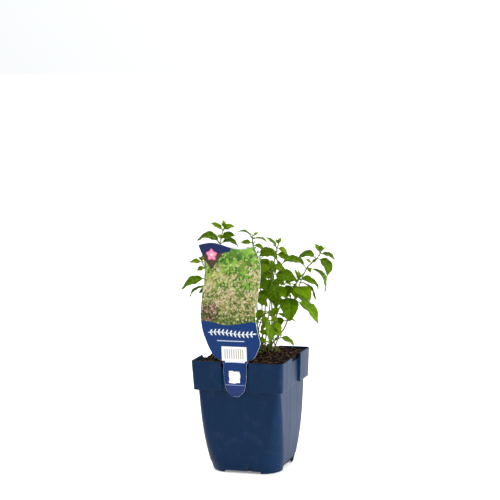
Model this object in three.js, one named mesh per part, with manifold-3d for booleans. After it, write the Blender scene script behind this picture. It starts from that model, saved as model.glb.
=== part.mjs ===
// Potted lesser calamint: a square nursery pot, its potting soil, a hanging plastic label
// and the leafy shoots, each one closed solid in its own mesh.
// Millimetres, +Z up. The origin is the middle of the pot's base, the label faces -Y.
import * as THREE from 'three';
import { mergeVertices } from 'three/addons/utils/BufferGeometryUtils.js';
import Module from 'manifold-3d';

const wasm = await Module();
wasm.setup();

// Pot
const POT_WIDTH = 110;          // across the rim, outside
const POT_HEIGHT = 132;
const WALL = 1.2;
const BAND_HEIGHT = 34;         // the wide band round the top
const BAND_DRAFT = 1.5;         // how far each side of the band leans in
const BAND_CORNER = 4.5;
const BODY_TOP_HALF = 49.3;     // half width of the body right under the band
const BODY_STRAIGHT_DRAFT = 0.4;
const BODY_CURVED_DRAFT = 6.9;  // the rest of the taper, growing towards the base
const BODY_CORNER_TOP = 5;
const BODY_CORNER_BASE = 24;
const BASE_STEP_HEIGHT = 11;    // a fine step runs round the pot here
const BASE_STEP = 0.5;
const BASE_ROUNDING = 1.8;
const FLOOR_UNDERSIDE = 3;
const FLOOR_THICKNESS = 1.4;
const FOOT_RADIUS = 12;         // round foot in the middle of the floor
const RECESS_HALF_WIDTH = 16.5; // label recess in the middle of each side of the band
const RECESS_FACE = 51.2;       // its face, from the pot's axis
const RECESS_CENTRE = -2;
const RECESS_RIM_DROP = 7;      // the rim is this much lower in the recess
const SKIRT_HALF_WIDTH = 22;    // the skirt is lifted between the corner feet
const SKIRT_LIFT = 2.4;
const DRAIN_SLOT_HALF_WIDTH = 19;
const DRAIN_SLOT_HEIGHT = 6;
const DRAIN_NOTCH = { from: 6, to: 11, height: 5.6 };
const GAP = 0.3;                // clearance between neighbouring pieces

// Soil
const SOIL_EDGE_DROP = 3.2;     // below the rim
const SOIL_MOUND = 6;
const SOIL_MOUND_SPREAD = 26;
const SOIL_LUMP = 0.7;

// Label
const LABEL_THICKNESS = 0.8;
const LABEL_PLANE = 51.9;       // distance of the sheet's middle from the pot's axis
const LABEL_BOW = 2.4;          // the sheet bulges forwards this much in its middle
const LABEL_TOP_WAVE = 3.4;
const LABEL_ROWS = 15;
const LABEL_COLUMNS = 4;
const TAIL_HALF_WIDTH = 12;
const TAIL_BOTTOM = 105;

// Height, left edge and right edge of the label, from the tongue's tip to the top
const LABEL_OUTLINE = [
  [92, -5, 1], [98, -12, 7.5], [108, -15, 10.5], [121, -16, 11.5],
  [132.5, -17, 13], [137, -25.5, 20.5], [145, -31.5, 25], [155, -36, 28.5],
  [169, -40.5, 25.5], [186, -42, 23.5], [205, -40, 26.5], [231, -36, 30.5],
  [248, -36.5, 30], [265, -42.5, 24],
];

// Plant. Its own frame is turned about the pot's axis: u to the right and w away, as the
// pot is seen from a little to the right of the label side, with z up.
const PLANT_TURN = THREE.MathUtils.degToRad(18.7);
const CROWN = { u: 14, w: 6 };
const STEM_SIDES = 4;           // a square stem, as the mint family has
const STEM_STEPS = 2;           // rings for each point of a route
const STEM_RADIUS_BASE = 1;
const STEM_RADIUS_TIP = 0.5;
const HOLE_GAP = 0.45;
const HOLE_TOP = 141;
const BLADE_THICKNESS = 0.7;
const BLADE_HALF_WIDTH = 0.29;  // of the leaf's whole length
const PETIOLE = 0.16;           // share of the leaf's length
const PETIOLE_HALF_WIDTH = 0.5;
const TIP_HALF_WIDTH = 0.4;
const FOLD = Math.tan(THREE.MathUtils.degToRad(13));
const TOOTH = 0.07;
const SMALL_LEAF = 14;
const LARGE_LEAF = 27;
const LEAF_CLEARANCE = 3;       // between sample points of leaves on different shoots
const OWN_CLEARANCE = 1.5;      // and of leaves on the same shoot
const LEAF_FLOOR = 136.5;
const TURN_STEPS = [0, 12, -12, 24, -24, 36, -36, 50, -50, 65, -65];
const LIFT_STEPS = [0, 14, -14, 28];

// A leaf: where it joins its stem as a share of the route, the direction it points to in
// degrees (0 right, 90 away, 180 left, 270 towards the viewer), its length, how steeply it
// rises at its foot, how far it arches over to its tip, and how far its face is turned to
// the viewer.
const leaf = (at, turn, length, lift, droop, roll = 0) => (
  { at, turn, length, lift, droop, roll });
const pair = (at, turn, length, lift, droop, roll = 0) => [
  leaf(at, turn, length, lift, droop, roll),
  leaf(at, turn + 180, length * 0.92, lift, droop, roll),
];

// Each shoot: the points of its stem in the plant's frame, and its leaves
const SHOOTS = [
  {
    name: 'shoot_far_right',
    route: [[23, 6, 120], [24, 6, 140], [39, 5, 160], [46, 4, 179], [56, 2, 207],
      [66, 0, 230], [77, -2, 241], [83, -3, 250]],
    leaves: [
      leaf(1, 262, 10, 66, 20),
      leaf(0.36, 160, 27, -2, 82, 45),
      leaf(0.36, 0, 11, 19, 62, 10),
      leaf(0.5, 350, 42, -15, 63, 15),
      leaf(0.71, 180, 35, 69, 115, 15),
      leaf(0.72, 350, 41, 0, 111),
      leaf(0.73, 310, 8, -35, 30, 40),
      ...pair(0.79, 190, 9, 45, 25, 35),
      leaf(0.86, 180, 24, 61, 115, 25),
      leaf(0.87, 345, 28, -4, 115, 28),
      leaf(0.96, 0, 20, 5, 57, 20),
      leaf(0.97, 180, 13, 70, 20, 20),
      leaf(1, 70, 8, 60, 20),
    ],
  },
  {
    name: 'shoot_right',
    route: [[20, -1, 120], [21, 0, 141], [28, 0, 168], [34, -4, 186], [43, -9, 200],
      [51, -14, 212], [57, -17, 221]],
    leaves: [
      leaf(0.66, 278, 37, -1, 112),
      leaf(0.84, 300, 35, -2, 43, 5),
      leaf(0.97, 10, 29, 15, 86, 22),
      leaf(0.93, 335, 33, -5, 85),
      leaf(0.72, 5, 31, -12, 46, 22),
      leaf(0.84, 205, 21, -1, 100, 30),
      leaf(0.9, 250, 19, -62, 35, 15),
      leaf(0.97, 175, 17, 23, 75, 35),
      leaf(0.98, 150, 13, 75, 20),
      leaf(0.5, 20, 18, 20, 60, 10),
      leaf(0.5, 200, 14, -10, 80, 40),
      ...pair(1, 100, 10, 60, 20),
    ],
  },
  {
    name: 'shoot_front_middle',
    route: [[15, -5, 120], [16, -6, 141], [21, -11, 178], [25, -17, 212], [26, -20, 236]],
    leaves: [
      leaf(0.62, 160, 23, 72, 112, 30),
      leaf(0.62, 340, 20, 28, 95, 30),
      leaf(0.8, 282, 40, -3, 92, 62),
      leaf(0.72, 340, 26, 26, 85, 22),
      leaf(0.91, 350, 31, -2, 14, 38),
      leaf(0.91, 170, 24, 26, 97, 75),
      ...pair(0.99, 355, 18, 20, 90, 45),
      ...pair(1, 280, 10, 65, 20),
    ],
  },
  {
    name: 'shoot_top_right',
    route: [[25, -7, 120], [24, -4, 141], [25, -3, 180], [25, -4, 206], [28, -8, 234],
      [31, -11, 252], [34, -13, 261]],
    leaves: [
      leaf(0.56, 195, 24, 10, 65, 45),
      leaf(0.56, 15, 18, 15, 70, 40),
      leaf(0.68, 190, 24, 20, 60, 40),
      leaf(0.76, 335, 23, -42, 60, 15),
      leaf(0.8, 0, 19, 2, 48, 38),
      leaf(0.8, 180, 20, 34, 86, 55),
      leaf(0.9, 170, 18, 64, 37, 10),
      leaf(0.9, 0, 14, 4, 70, 30),
      ...pair(1, 60, 9, 65, 30),
    ],
  },
  {
    name: 'shoot_top_middle',
    route: [[11, 9, 120], [12, 10, 141], [16, 9, 170], [18, 8, 200], [14, 8, 234],
      [5, 10, 257], [5, 10, 268]],
    leaves: [
      leaf(0.58, 350, 20, -12, 95, 55),
      leaf(0.66, 0, 22, 27, 112, 60),
      leaf(0.66, 200, 24, 25, 60, 30),
      leaf(0.76, 350, 28, 22, 73, 28),
      leaf(0.79, 290, 22, 8, 96, 65),
      leaf(0.79, 120, 18, 25, 60),
      leaf(0.84, 15, 17, -12, 28, 30),
      leaf(0.87, 190, 14, 17, 30, 35),
      leaf(0.94, 180, 22, 73, 93),
      leaf(0.94, 350, 18, 22, 66, 5),
      ...pair(1, 0, 8, 42, 15, 35),
    ],
  },
  {
    name: 'shoot_centre',
    route: [[8, 14, 120], [8, 15, 141], [8, 18, 185], [9, 22, 220], [11, 24, 242]],
    leaves: [
      leaf(0.68, 0, 20, -3, 82, 55),
      leaf(0.56, 350, 17, -20, 42, 40),
      leaf(0.56, 170, 22, 15, 70, 20),
      leaf(0.68, 110, 22, 20, 65, 20),
      leaf(0.8, 0, 24, 12, 96, 55),
      leaf(0.8, 185, 24, 20, 65, 40),
      leaf(0.9, 0, 20, 20, 90, 60),
      leaf(0.9, 180, 22, 20, 60, 40),
      ...pair(0.95, 80, 16, 25, 50),
      ...pair(1, 160, 10, 45, 30, 30),
    ],
  },
  {
    name: 'shoot_left_top',
    route: [[4, 4, 120], [2, 4, 141], [-10, 3, 180], [-23, 1, 220], [-32, 0, 254],
      [-32, 0, 266], [-28, -2, 280]],
    leaves: [
      ...pair(0.56, 150, 26, 25, 70, 20),
      leaf(0.74, 180, 32, 68, 115, 18),
      leaf(0.74, 0, 25, 46, 115, 15),
      leaf(0.84, 350, 18, 45, 61, 48),
      leaf(0.84, 100, 11, 40, 30),
      leaf(0.96, 175, 17, 49, 32, 25),
      leaf(0.96, 0, 15, 60, 85, 42),
      ...pair(1, 95, 9, 75, 15),
    ],
  },
  {
    name: 'shoot_left',
    route: [[0, 9, 120], [-3, 9, 141], [-18, 6, 172], [-36, -2, 207], [-49, -9, 232],
      [-54, -11, 243]],
    leaves: [
      ...pair(0.62, 15, 25, 20, 65, 20),
      leaf(0.86, 190, 10, -8, 34, 65),
      leaf(0.8, 90, 20, 25, 60),
      leaf(0.98, 185, 15, 14, 23, 30),
      leaf(0.98, 5, 14, 20, 35, 40),
      leaf(1, 0, 9, 80, 30, 60),
      leaf(1, 260, 8, 60, 20),
    ],
  },
  {
    name: 'shoot_left_low',
    route: [[2, -4, 120], [-2, -5, 141], [-20, -9, 172], [-38, -14, 200], [-48, -16, 222],
      [-48, -17, 234]],
    leaves: [
      leaf(0.68, 183, 32, 41, 114),
      leaf(0.68, 6, 22, 20, 65, 20),
      leaf(0.83, 182, 33, -2, 42, 20),
      leaf(0.83, 2, 26, 15, 50, 40),
      ...pair(0.96, 275, 15, 30, 50),
      ...pair(1, 190, 9, 60, 20),
    ],
  },
  {
    name: 'shoot_low_front',
    route: [[29, -1, 120], [28, -3, 140], [24, -13, 158], [22, -17, 173]],
    leaves: [
      leaf(0.7, 0, 15, 26, 110, 40),
      leaf(0.7, 190, 13, 20, 75, 40),
      leaf(0.86, 0, 16, 20, 95, 50),
      leaf(0.86, 180, 14, 26, 99, 35),
      leaf(0.97, 265, 38, 5, 80, 64),
      ...pair(1, 165, 12, 35, 65, 40),
    ],
  },
  {
    name: 'shoot_low_fork',
    route: [[15, 3, 120], [14, 3, 141], [9, 4, 156], [12, 3, 169], [18, 2, 181]],
    leaves: [
      leaf(0.5, 350, 11, 34, 110, 55),
      leaf(0.72, 190, 12, 35, 110, 40),
      leaf(0.72, 10, 12, 25, 80, 40),
      leaf(1, 190, 15, 0, 65, 50),
      leaf(1, 350, 15, -20, 36, 55),
      leaf(0.9, 190, 14, -22, 47, 40),
      leaf(0.9, 90, 14, 30, 60, 30),
    ],
  },
  {
    name: 'shoot_low_right',
    route: [[27, 14, 120], [29, 17, 138], [33, 22, 147]],
    leaves: [
      leaf(0.75, 240, 11, 45, 40, 20),
      leaf(0.98, 350, 21, -8, 40, 18),
      leaf(0.98, 120, 14, 25, 60),
    ],
  },
  {
    name: 'shoot_crown',
    route: [[9, -3, 120], [8, -4, 138], [7, -7, 146]],
    leaves: [
      leaf(1, 60, 18, 42, 47, 10),
      leaf(1, 0, 13, 60, 110, 55),
      leaf(0.8, 190, 12, 40, 60, 30),
      leaf(0.8, 20, 12, 25, 60, 45),
    ],
  },
  {
    name: 'shoot_front_left',
    route: [[3, -12, 120], [1, -14, 141], [-5, -21, 172], [-13, -27, 204], [-18, -31, 230]],
    leaves: [
      ...pair(0.6, 100, 24, 20, 70),
      ...pair(0.78, 10, 26, 20, 65),
      ...pair(0.93, 80, 18, 30, 55),
      ...pair(1, 170, 11, 55, 30),
    ],
  },
  {
    name: 'shoot_back_left',
    route: [[2, 19, 120], [-1, 21, 141], [-13, 32, 176], [-23, 42, 210], [-27, 46, 238]],
    leaves: [
      ...pair(0.6, 135, 25, 20, 70),
      ...pair(0.78, 40, 25, 20, 65),
      ...pair(0.92, 130, 18, 30, 55),
      ...pair(1, 30, 11, 55, 30),
    ],
  },
  {
    name: 'shoot_back',
    route: [[14, 21, 120], [14, 24, 141], [14, 38, 176], [12, 48, 208], [10, 52, 232]],
    leaves: [
      ...pair(0.6, 90, 26, 20, 70),
      ...pair(0.78, 5, 24, 20, 65),
      ...pair(0.92, 95, 18, 30, 55),
      ...pair(1, 0, 11, 55, 30),
    ],
  },
  {
    name: 'shoot_back_right',
    route: [[22, 19, 120], [24, 24, 141], [28, 36, 166], [34, 44, 190], [39, 46, 212]],
    leaves: [
      ...pair(0.55, 140, 20, 20, 65),
      ...pair(0.76, 50, 24, 20, 65),
      ...pair(0.92, 135, 18, 30, 55),
      ...pair(1, 40, 11, 55, 30),
    ],
  },
];

// Solids from geometry, and geometry from solids
function toSolid(geometry) {
  const bare = geometry.clone();
  bare.deleteAttribute('normal');
  bare.deleteAttribute('uv');
  const merged = mergeVertices(bare, 1e-4);
  return new wasm.Manifold(new wasm.Mesh({
    numProp: 3,
    vertProperties: Float32Array.from(merged.attributes.position.array),
    triVerts: Uint32Array.from(merged.index.array),
  }));
}

function toGeometry(solid) {
  const { vertProperties, triVerts } = solid.getMesh();
  const geometry = new THREE.BufferGeometry();
  geometry.setAttribute('position', new THREE.BufferAttribute(vertProperties, 3));
  geometry.setIndex(new THREE.BufferAttribute(triVerts, 1));
  geometry.computeVertexNormals();
  return geometry;
}

// Only the largest skin of a solid: pockets that crossing leaves enclose are filled
function outerSkin(solid) {
  const { vertProperties, triVerts } = solid.getMesh();
  const parent = Int32Array.from({ length: vertProperties.length / 3 }, (_, i) => i);
  const find = (i) => {
    while (parent[i] !== i) {
      parent[i] = parent[parent[i]];
      i = parent[i];
    }
    return i;
  };
  for (let i = 0; i < triVerts.length; i += 3) {
    parent[find(triVerts[i + 1])] = find(triVerts[i]);
    parent[find(triVerts[i + 2])] = find(triVerts[i]);
  }
  const skins = new Map();
  for (let i = 0; i < triVerts.length; i += 3) {
    const skin = find(triVerts[i]);
    if (!skins.has(skin)) skins.set(skin, []);
    skins.get(skin).push(triVerts[i], triVerts[i + 1], triVerts[i + 2]);
  }
  const largest = [...skins.values()].sort((a, b) => b.length - a.length)[0];
  const used = [...new Set(largest)];
  const renumbered = new Map(used.map((vertex, i) => [vertex, i]));
  return new wasm.Manifold(new wasm.Mesh({
    numProp: 3,
    vertProperties: Float32Array.from(used.flatMap((vertex) => [
      ...vertProperties.subarray(3 * vertex, 3 * vertex + 3)])),
    triVerts: Uint32Array.from(largest.map((vertex) => renumbered.get(vertex))),
  }));
}

function box(x0, x1, y0, y1, z0, z1) {
  const geometry = new THREE.BoxGeometry(x1 - x0, y1 - y0, z1 - z0);
  geometry.translate((x0 + x1) / 2, (y0 + y1) / 2, (z0 + z1) / 2);
  return toSolid(geometry);
}

// A closed skin over rings of points, listed from the bottom up and each one anticlockwise
function loft(rings) {
  const count = rings[0].length;
  const position = rings.flat().flatMap((point) => [point.x, point.y, point.z]);
  const index = [];
  for (let ring = 0; ring + 1 < rings.length; ring += 1) {
    for (let i = 0; i < count; i += 1) {
      const a = ring * count + i;
      const b = ring * count + ((i + 1) % count);
      index.push(a, b, b + count, a, b + count, a + count);
    }
  }
  const last = (rings.length - 1) * count;
  for (let i = 1; i + 1 < count; i += 1) {
    index.push(0, i + 1, i, last, last + i, last + i + 1);
  }
  const geometry = new THREE.BufferGeometry();
  geometry.setAttribute('position', new THREE.Float32BufferAttribute(position, 3));
  geometry.setIndex(index);
  return geometry;
}

// Square ring with rounded corners
function squareRing(half, corner, z) {
  const steps = 4;
  const points = [];
  for (let side = 0; side < 4; side += 1) {
    const start = side * Math.PI / 2;
    const cx = (half - corner) * Math.SQRT2 * Math.cos(start + Math.PI / 4);
    const cy = (half - corner) * Math.SQRT2 * Math.sin(start + Math.PI / 4);
    for (let i = 0; i <= steps; i += 1) {
      const angle = start + (i / steps) * Math.PI / 2;
      points.push(new THREE.Vector3(
        cx + corner * Math.cos(angle), cy + corner * Math.sin(angle), z));
    }
  }
  return points;
}

// The pot's outside at a height: half width and corner radius
const BAND_BOTTOM = POT_HEIGHT - BAND_HEIGHT;

function bodyAt(z) {
  const depth = (BAND_BOTTOM - z) / BAND_BOTTOM;
  const inset = z < BASE_STEP_HEIGHT ? BASE_STEP : 0;
  return {
    half: BODY_TOP_HALF - BODY_STRAIGHT_DRAFT * depth - BODY_CURVED_DRAFT * depth ** 3 - inset,
    corner: BODY_CORNER_TOP + (BODY_CORNER_BASE - BODY_CORNER_TOP) * Math.max(depth, 0),
  };
}

function bandAt(z) {
  const depth = (POT_HEIGHT - z) / BAND_HEIGHT;
  return { half: POT_WIDTH / 2 - BAND_DRAFT * depth, corner: BAND_CORNER };
}

const ringOf = ({ half, corner }, inset, z) => (
  squareRing(half - inset, Math.max(corner - inset, 1), z));

// The space inside the pot, kept `inset` from its outside, from a floor up to a top
function inside(inset, floor, ledge, top) {
  const levels = [floor, 25, 50, 75, ledge];
  return [
    ...levels.map((z) => ringOf(bodyAt(z), inset, z)),
    ringOf(bandAt(ledge), inset, ledge),
    ringOf(bandAt(top), inset, top),
  ];
}

// The four blocks of space that the recesses take from the band, thickened inwards
function recesses(thickening, bottom) {
  const face = RECESS_FACE - thickening;
  const half = RECESS_HALF_WIDTH + thickening;
  const far = POT_WIDTH / 2 + 5;
  const front = box(RECESS_CENTRE - half, RECESS_CENTRE + half, -far, -face, bottom, 150);
  const right = box(face, far, -half, half, bottom, 150);
  const back = box(-half, half, face, far, bottom, 150);
  const left = box(-far, -face, -half, half, bottom, 150);
  return front.add(right).add(back).add(left);
}

function makePot() {
  const base = bodyAt(0);
  const rings = [
    ringOf(base, BASE_ROUNDING, 0),
    ringOf(base, BASE_ROUNDING * 0.35, BASE_ROUNDING * 0.3),
    ringOf(bodyAt(BASE_ROUNDING), 0, BASE_ROUNDING),
    ringOf(bodyAt(BASE_STEP_HEIGHT - 0.01), 0, BASE_STEP_HEIGHT - BASE_STEP),
    ...[BASE_STEP_HEIGHT, 26, 42, 58, 78, BAND_BOTTOM].map((z) => ringOf(bodyAt(z), 0, z)),
    ringOf(bandAt(BAND_BOTTOM), 0, BAND_BOTTOM),
    ringOf(bandAt(POT_HEIGHT), 0, POT_HEIGHT - 0.6),
    ringOf(bandAt(POT_HEIGHT), 0.5, POT_HEIGHT),
  ];
  const floorTop = FLOOR_UNDERSIDE + FLOOR_THICKNESS;
  const outside = toSolid(loft(rings)).subtract(recesses(0, BAND_BOTTOM));
  const cavity = toSolid(loft(inside(WALL, floorTop, BAND_BOTTOM + WALL, POT_HEIGHT + 1)))
    .subtract(recesses(WALL, BAND_BOTTOM - 5));
  const underside = toSolid(loft([
    ringOf(base, BASE_ROUNDING + WALL, -1),
    ringOf(base, BASE_ROUNDING, FLOOR_UNDERSIDE),
  ]));
  const foot = new THREE.CylinderGeometry(
    FOOT_RADIUS + 1, FOOT_RADIUS, FLOOR_UNDERSIDE + 0.5, 24);
  foot.rotateX(Math.PI / 2);
  foot.translate(0, 0, (FLOOR_UNDERSIDE + 0.5) / 2);
  let pot = outside.subtract(cavity).subtract(underside).add(toSolid(foot));

  // The rim dips at each recess, the skirt is lifted and slotted between the corner feet
  const far = POT_WIDTH;
  const half = RECESS_HALF_WIDTH;
  const dip = POT_HEIGHT - RECESS_RIM_DROP;
  const inner = RECESS_FACE - WALL - 1;
  pot = pot
    .subtract(box(RECESS_CENTRE - half, RECESS_CENTRE + half, -far, -inner, dip, 150))
    .subtract(box(-half, half, inner, far, dip, 150))
    .subtract(box(inner, far, -half, half, dip, 150))
    .subtract(box(-far, -inner, -half, half, dip, 150))
    .subtract(box(-SKIRT_HALF_WIDTH, SKIRT_HALF_WIDTH, -far, -FOOT_RADIUS - 3, -1, SKIRT_LIFT))
    .subtract(box(-SKIRT_HALF_WIDTH, SKIRT_HALF_WIDTH, FOOT_RADIUS + 3, far, -1, SKIRT_LIFT));
  const slotEnd = base.half - BASE_ROUNDING - WALL - 1.5;
  const slot = DRAIN_SLOT_HALF_WIDTH;
  const { from, to, height } = DRAIN_NOTCH;
  return pot
    .subtract(box(slotEnd, far, -slot, slot, -1, DRAIN_SLOT_HEIGHT))
    .subtract(box(-far, -slotEnd, -slot, slot, -1, DRAIN_SLOT_HEIGHT))
    .subtract(box(from, to, -far, -slotEnd, -1, height))
    .subtract(box(-to, -from, slotEnd, far, -1, height));
}

// The soil's surface: low at the walls, heaped round the crown, with lumps
const CROWN_X = CROWN.u * Math.cos(PLANT_TURN) - CROWN.w * Math.sin(PLANT_TURN);
const CROWN_Y = CROWN.u * Math.sin(PLANT_TURN) + CROWN.w * Math.cos(PLANT_TURN);

function soilHeight(x, y) {
  const away = ((x - CROWN_X) ** 2 + (y - CROWN_Y) ** 2) / (2 * SOIL_MOUND_SPREAD ** 2);
  const lumps = Math.sin(0.34 * x + 0.8) * Math.cos(0.29 * y) + 0.6 * Math.sin(0.5 * (x + y));
  return POT_HEIGHT - SOIL_EDGE_DROP + SOIL_MOUND * Math.exp(-away) + SOIL_LUMP * lumps;
}

function makeSoil(stemHoles) {
  const clear = WALL + GAP;
  const floor = FLOOR_UNDERSIDE + FLOOR_THICKNESS + GAP;
  const edge = POT_HEIGHT - SOIL_EDGE_DROP;
  const walls = inside(clear, floor, BAND_BOTTOM + clear, edge);
  const crowns = [];
  for (const share of [1, 0.86, 0.72, 0.58, 0.44, 0.3, 0.16]) {
    crowns.push(walls.at(-1).map((point) => {
      const x = point.x * share + CROWN_X * (1 - share);
      const y = point.y * share + CROWN_Y * (1 - share);
      return new THREE.Vector3(x, y, soilHeight(x, y));
    }));
  }
  return toSolid(loft([...walls.slice(0, -1), ...crowns]))
    .subtract(recesses(clear, BAND_BOTTOM - 5))
    .subtract(box(-2 - TAIL_HALF_WIDTH - GAP, -2 + TAIL_HALF_WIDTH + GAP,
      -POT_WIDTH, -LABEL_PLANE + 3.4, TAIL_BOTTOM - GAP, 150))
    .subtract(stemHoles);
}

// The label: a sheet over a grid, its tongue outside the pot, with a tail that goes down
// inside the wall from the same neck
const labelCurve = new THREE.CatmullRomCurve3(
  LABEL_OUTLINE.map((row) => new THREE.Vector3(...row)), false, 'catmullrom', 0.5);

function labelPoint(row, column) {
  const { x: height, y: left, z: right } = labelCurve.getPoint(row);
  const rise = THREE.MathUtils.smoothstep(height, 128, 185);
  const top = THREE.MathUtils.smoothstep(height, 190, 265);
  return new THREE.Vector3(
    left + (right - left) * column,
    -LABEL_PLANE - LABEL_BOW * rise * 4 * column * (1 - column),
    height + LABEL_TOP_WAVE * top * Math.sin(2 * Math.PI * column));
}

function makeLabel() {
  const rows = [];
  for (let row = 0; row <= LABEL_ROWS; row += 1) {
    const front = [];
    const back = [];
    for (let column = 0; column <= LABEL_COLUMNS; column += 1) {
      const point = labelPoint(row / LABEL_ROWS, column / LABEL_COLUMNS);
      front.push(point.clone().setY(point.y - LABEL_THICKNESS / 2));
      back.push(point.clone().setY(point.y + LABEL_THICKNESS / 2));
    }
    rows.push({ front, back });
  }
  const y = -LABEL_PLANE;
  const strip = new THREE.Shape([
    [y - 0.2, 134], [y - 0.2, 130], [y + 0.7, 129], [y + 2.2, 125.8], [y + 2.2, TAIL_BOTTOM],
    [y + 3, TAIL_BOTTOM], [y + 3, 126.2], [y + 1.4, 130], [y + 0.6, 134],
  ].map((point) => new THREE.Vector2(...point)));
  const tail = new THREE.ExtrudeGeometry(strip, {
    depth: 2 * TAIL_HALF_WIDTH, bevelEnabled: false });
  tail.applyMatrix4(new THREE.Matrix4().makeBasis(
    new THREE.Vector3(0, 1, 0), new THREE.Vector3(0, 0, 1), new THREE.Vector3(1, 0, 0)));
  tail.translate(-2 - TAIL_HALF_WIDTH, 0, 0);
  return toSolid(ribbon(rows)).add(toSolid(tail));
}

// A closed skin over rows of points, each with a front line and a back line of as many
// points. A line of two points may follow or precede one of three.
function ribbon(rows) {
  const points = [];
  const index = [];
  const lines = rows.map((row) => {
    const start = points.length;
    const count = row.front.length;
    points.push(...row.front, ...row.back);
    return { count, front: start, back: start + count };
  });
  const face = (a, b, c, flip) => index.push(...(flip ? [a, c, b] : [a, b, c]));
  const stitch = (a, aCount, b, bCount, flip) => {
    if (aCount < bCount) {
      face(a, a + 1, b + 1, flip);
      face(a, b + 1, b, flip);
      face(a + 1, b + 2, b + 1, flip);
    } else if (aCount > bCount) {
      face(a, a + 1, b, flip);
      face(a + 1, b + 1, b, flip);
      face(a + 1, a + 2, b + 1, flip);
    } else {
      for (let i = 0; i + 1 < aCount; i += 1) {
        face(a + i, a + i + 1, b + i + 1, flip);
        face(a + i, b + i + 1, b + i, flip);
      }
    }
  };
  const edge = (a, b, c, d) => index.push(a, b, c, a, c, d);
  for (let i = 0; i + 1 < lines.length; i += 1) {
    const a = lines[i];
    const b = lines[i + 1];
    stitch(a.front, a.count, b.front, b.count, false);
    stitch(a.back, a.count, b.back, b.count, true);
    edge(a.back, a.front, b.front, b.back);
    edge(a.front + a.count - 1, a.back + a.count - 1, b.back + b.count - 1,
      b.front + b.count - 1);
  }
  const first = lines[0];
  const last = lines.at(-1);
  for (let i = 0; i + 1 < first.count; i += 1) {
    edge(first.front + i, first.back + i, first.back + i + 1, first.front + i + 1);
  }
  for (let i = 0; i + 1 < last.count; i += 1) {
    edge(last.front + i, last.front + i + 1, last.back + i + 1, last.back + i);
  }
  const geometry = new THREE.BufferGeometry();
  geometry.setAttribute('position', new THREE.Float32BufferAttribute(
    points.flatMap((point) => [point.x, point.y, point.z]), 3));
  geometry.setIndex(index);
  return geometry;
}

// Stems
const curveOf = (shoot) => new THREE.CatmullRomCurve3(
  shoot.route.map((point) => new THREE.Vector3(...point)), false, 'catmullrom', 0.5);

function stemRing(curve, at, radius, lower = 0) {
  const centre = curve.getPoint(at);
  const along = curve.getTangent(at);
  const side = new THREE.Vector3(0, 1, 0).cross(along).normalize();
  const front = new THREE.Vector3().crossVectors(along, side);
  const ring = [];
  for (let i = 0; i < STEM_SIDES; i += 1) {
    const angle = (i / STEM_SIDES) * 2 * Math.PI;
    ring.push(centre.clone()
      .addScaledVector(side, radius * Math.cos(angle))
      .addScaledVector(front, radius * Math.sin(angle))
      .addScaledVector(along, -lower));
  }
  return ring;
}

function stemSolid(curve, steps) {
  const rings = [];
  for (let i = 0; i <= steps; i += 1) {
    const at = i / steps;
    rings.push(stemRing(curve, at, THREE.MathUtils.lerp(STEM_RADIUS_BASE, STEM_RADIUS_TIP, at)));
  }
  return toSolid(loft(rings));
}

// A plain hole round the foot of a stem
function holeSolid(curve, steps) {
  const rings = [stemRing(curve, 0, STEM_RADIUS_BASE + HOLE_GAP, HOLE_GAP)];
  for (let i = 1; i <= steps; i += 1) {
    rings.push(stemRing(curve, i / steps, STEM_RADIUS_BASE + HOLE_GAP));
    if (curve.getPoint(i / steps).z > HOLE_TOP) break;
  }
  return toSolid(loft(rings));
}

// The middle line of a leaf is an arc in an upright plane. Each place along it has its
// point, the direction across the blade, and the direction its face looks to.
function leafFrame(blade, root, along) {
  const turn = THREE.MathUtils.degToRad(blade.turn);
  const lift = THREE.MathUtils.degToRad(blade.lift);
  const droop = THREE.MathUtils.degToRad(blade.droop);
  const roll = THREE.MathUtils.degToRad(blade.roll);
  const slope = lift - droop * along;
  const out = (Math.sin(lift) - Math.sin(slope)) / droop;
  const up = (Math.cos(slope) - Math.cos(lift)) / droop;
  const reach = new THREE.Vector3(Math.cos(turn), Math.sin(turn), 0);
  const upright = new THREE.Vector3(0, 0, 1);
  const side = new THREE.Vector3(Math.sin(turn), -Math.cos(turn), 0);
  if (side.y > 0) side.negate();
  const tangent = reach.clone().multiplyScalar(Math.cos(slope))
    .addScaledVector(upright, Math.sin(slope));
  const face = reach.clone().multiplyScalar(-Math.sin(slope))
    .addScaledVector(upright, Math.cos(slope))
    .multiplyScalar(Math.cos(roll))
    .addScaledVector(side, Math.sin(roll));
  return {
    point: root.clone().addScaledVector(reach, blade.length * out)
      .addScaledVector(upright, blade.length * up),
    across: new THREE.Vector3().crossVectors(tangent, face),
    face,
  };
}

// Half the width of a leaf along its length: a narrow stalk, then an egg-shaped blade
function leafHalfWidth(length, along) {
  const share = (along - PETIOLE) / (1 - PETIOLE);
  if (share <= 0) return PETIOLE_HALF_WIDTH;
  const egg = Math.sin(Math.PI * Math.min(share, 1) ** 0.7) ** 0.95;
  return Math.max(BLADE_HALF_WIDTH * length * egg, TIP_HALF_WIDTH);
}

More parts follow.
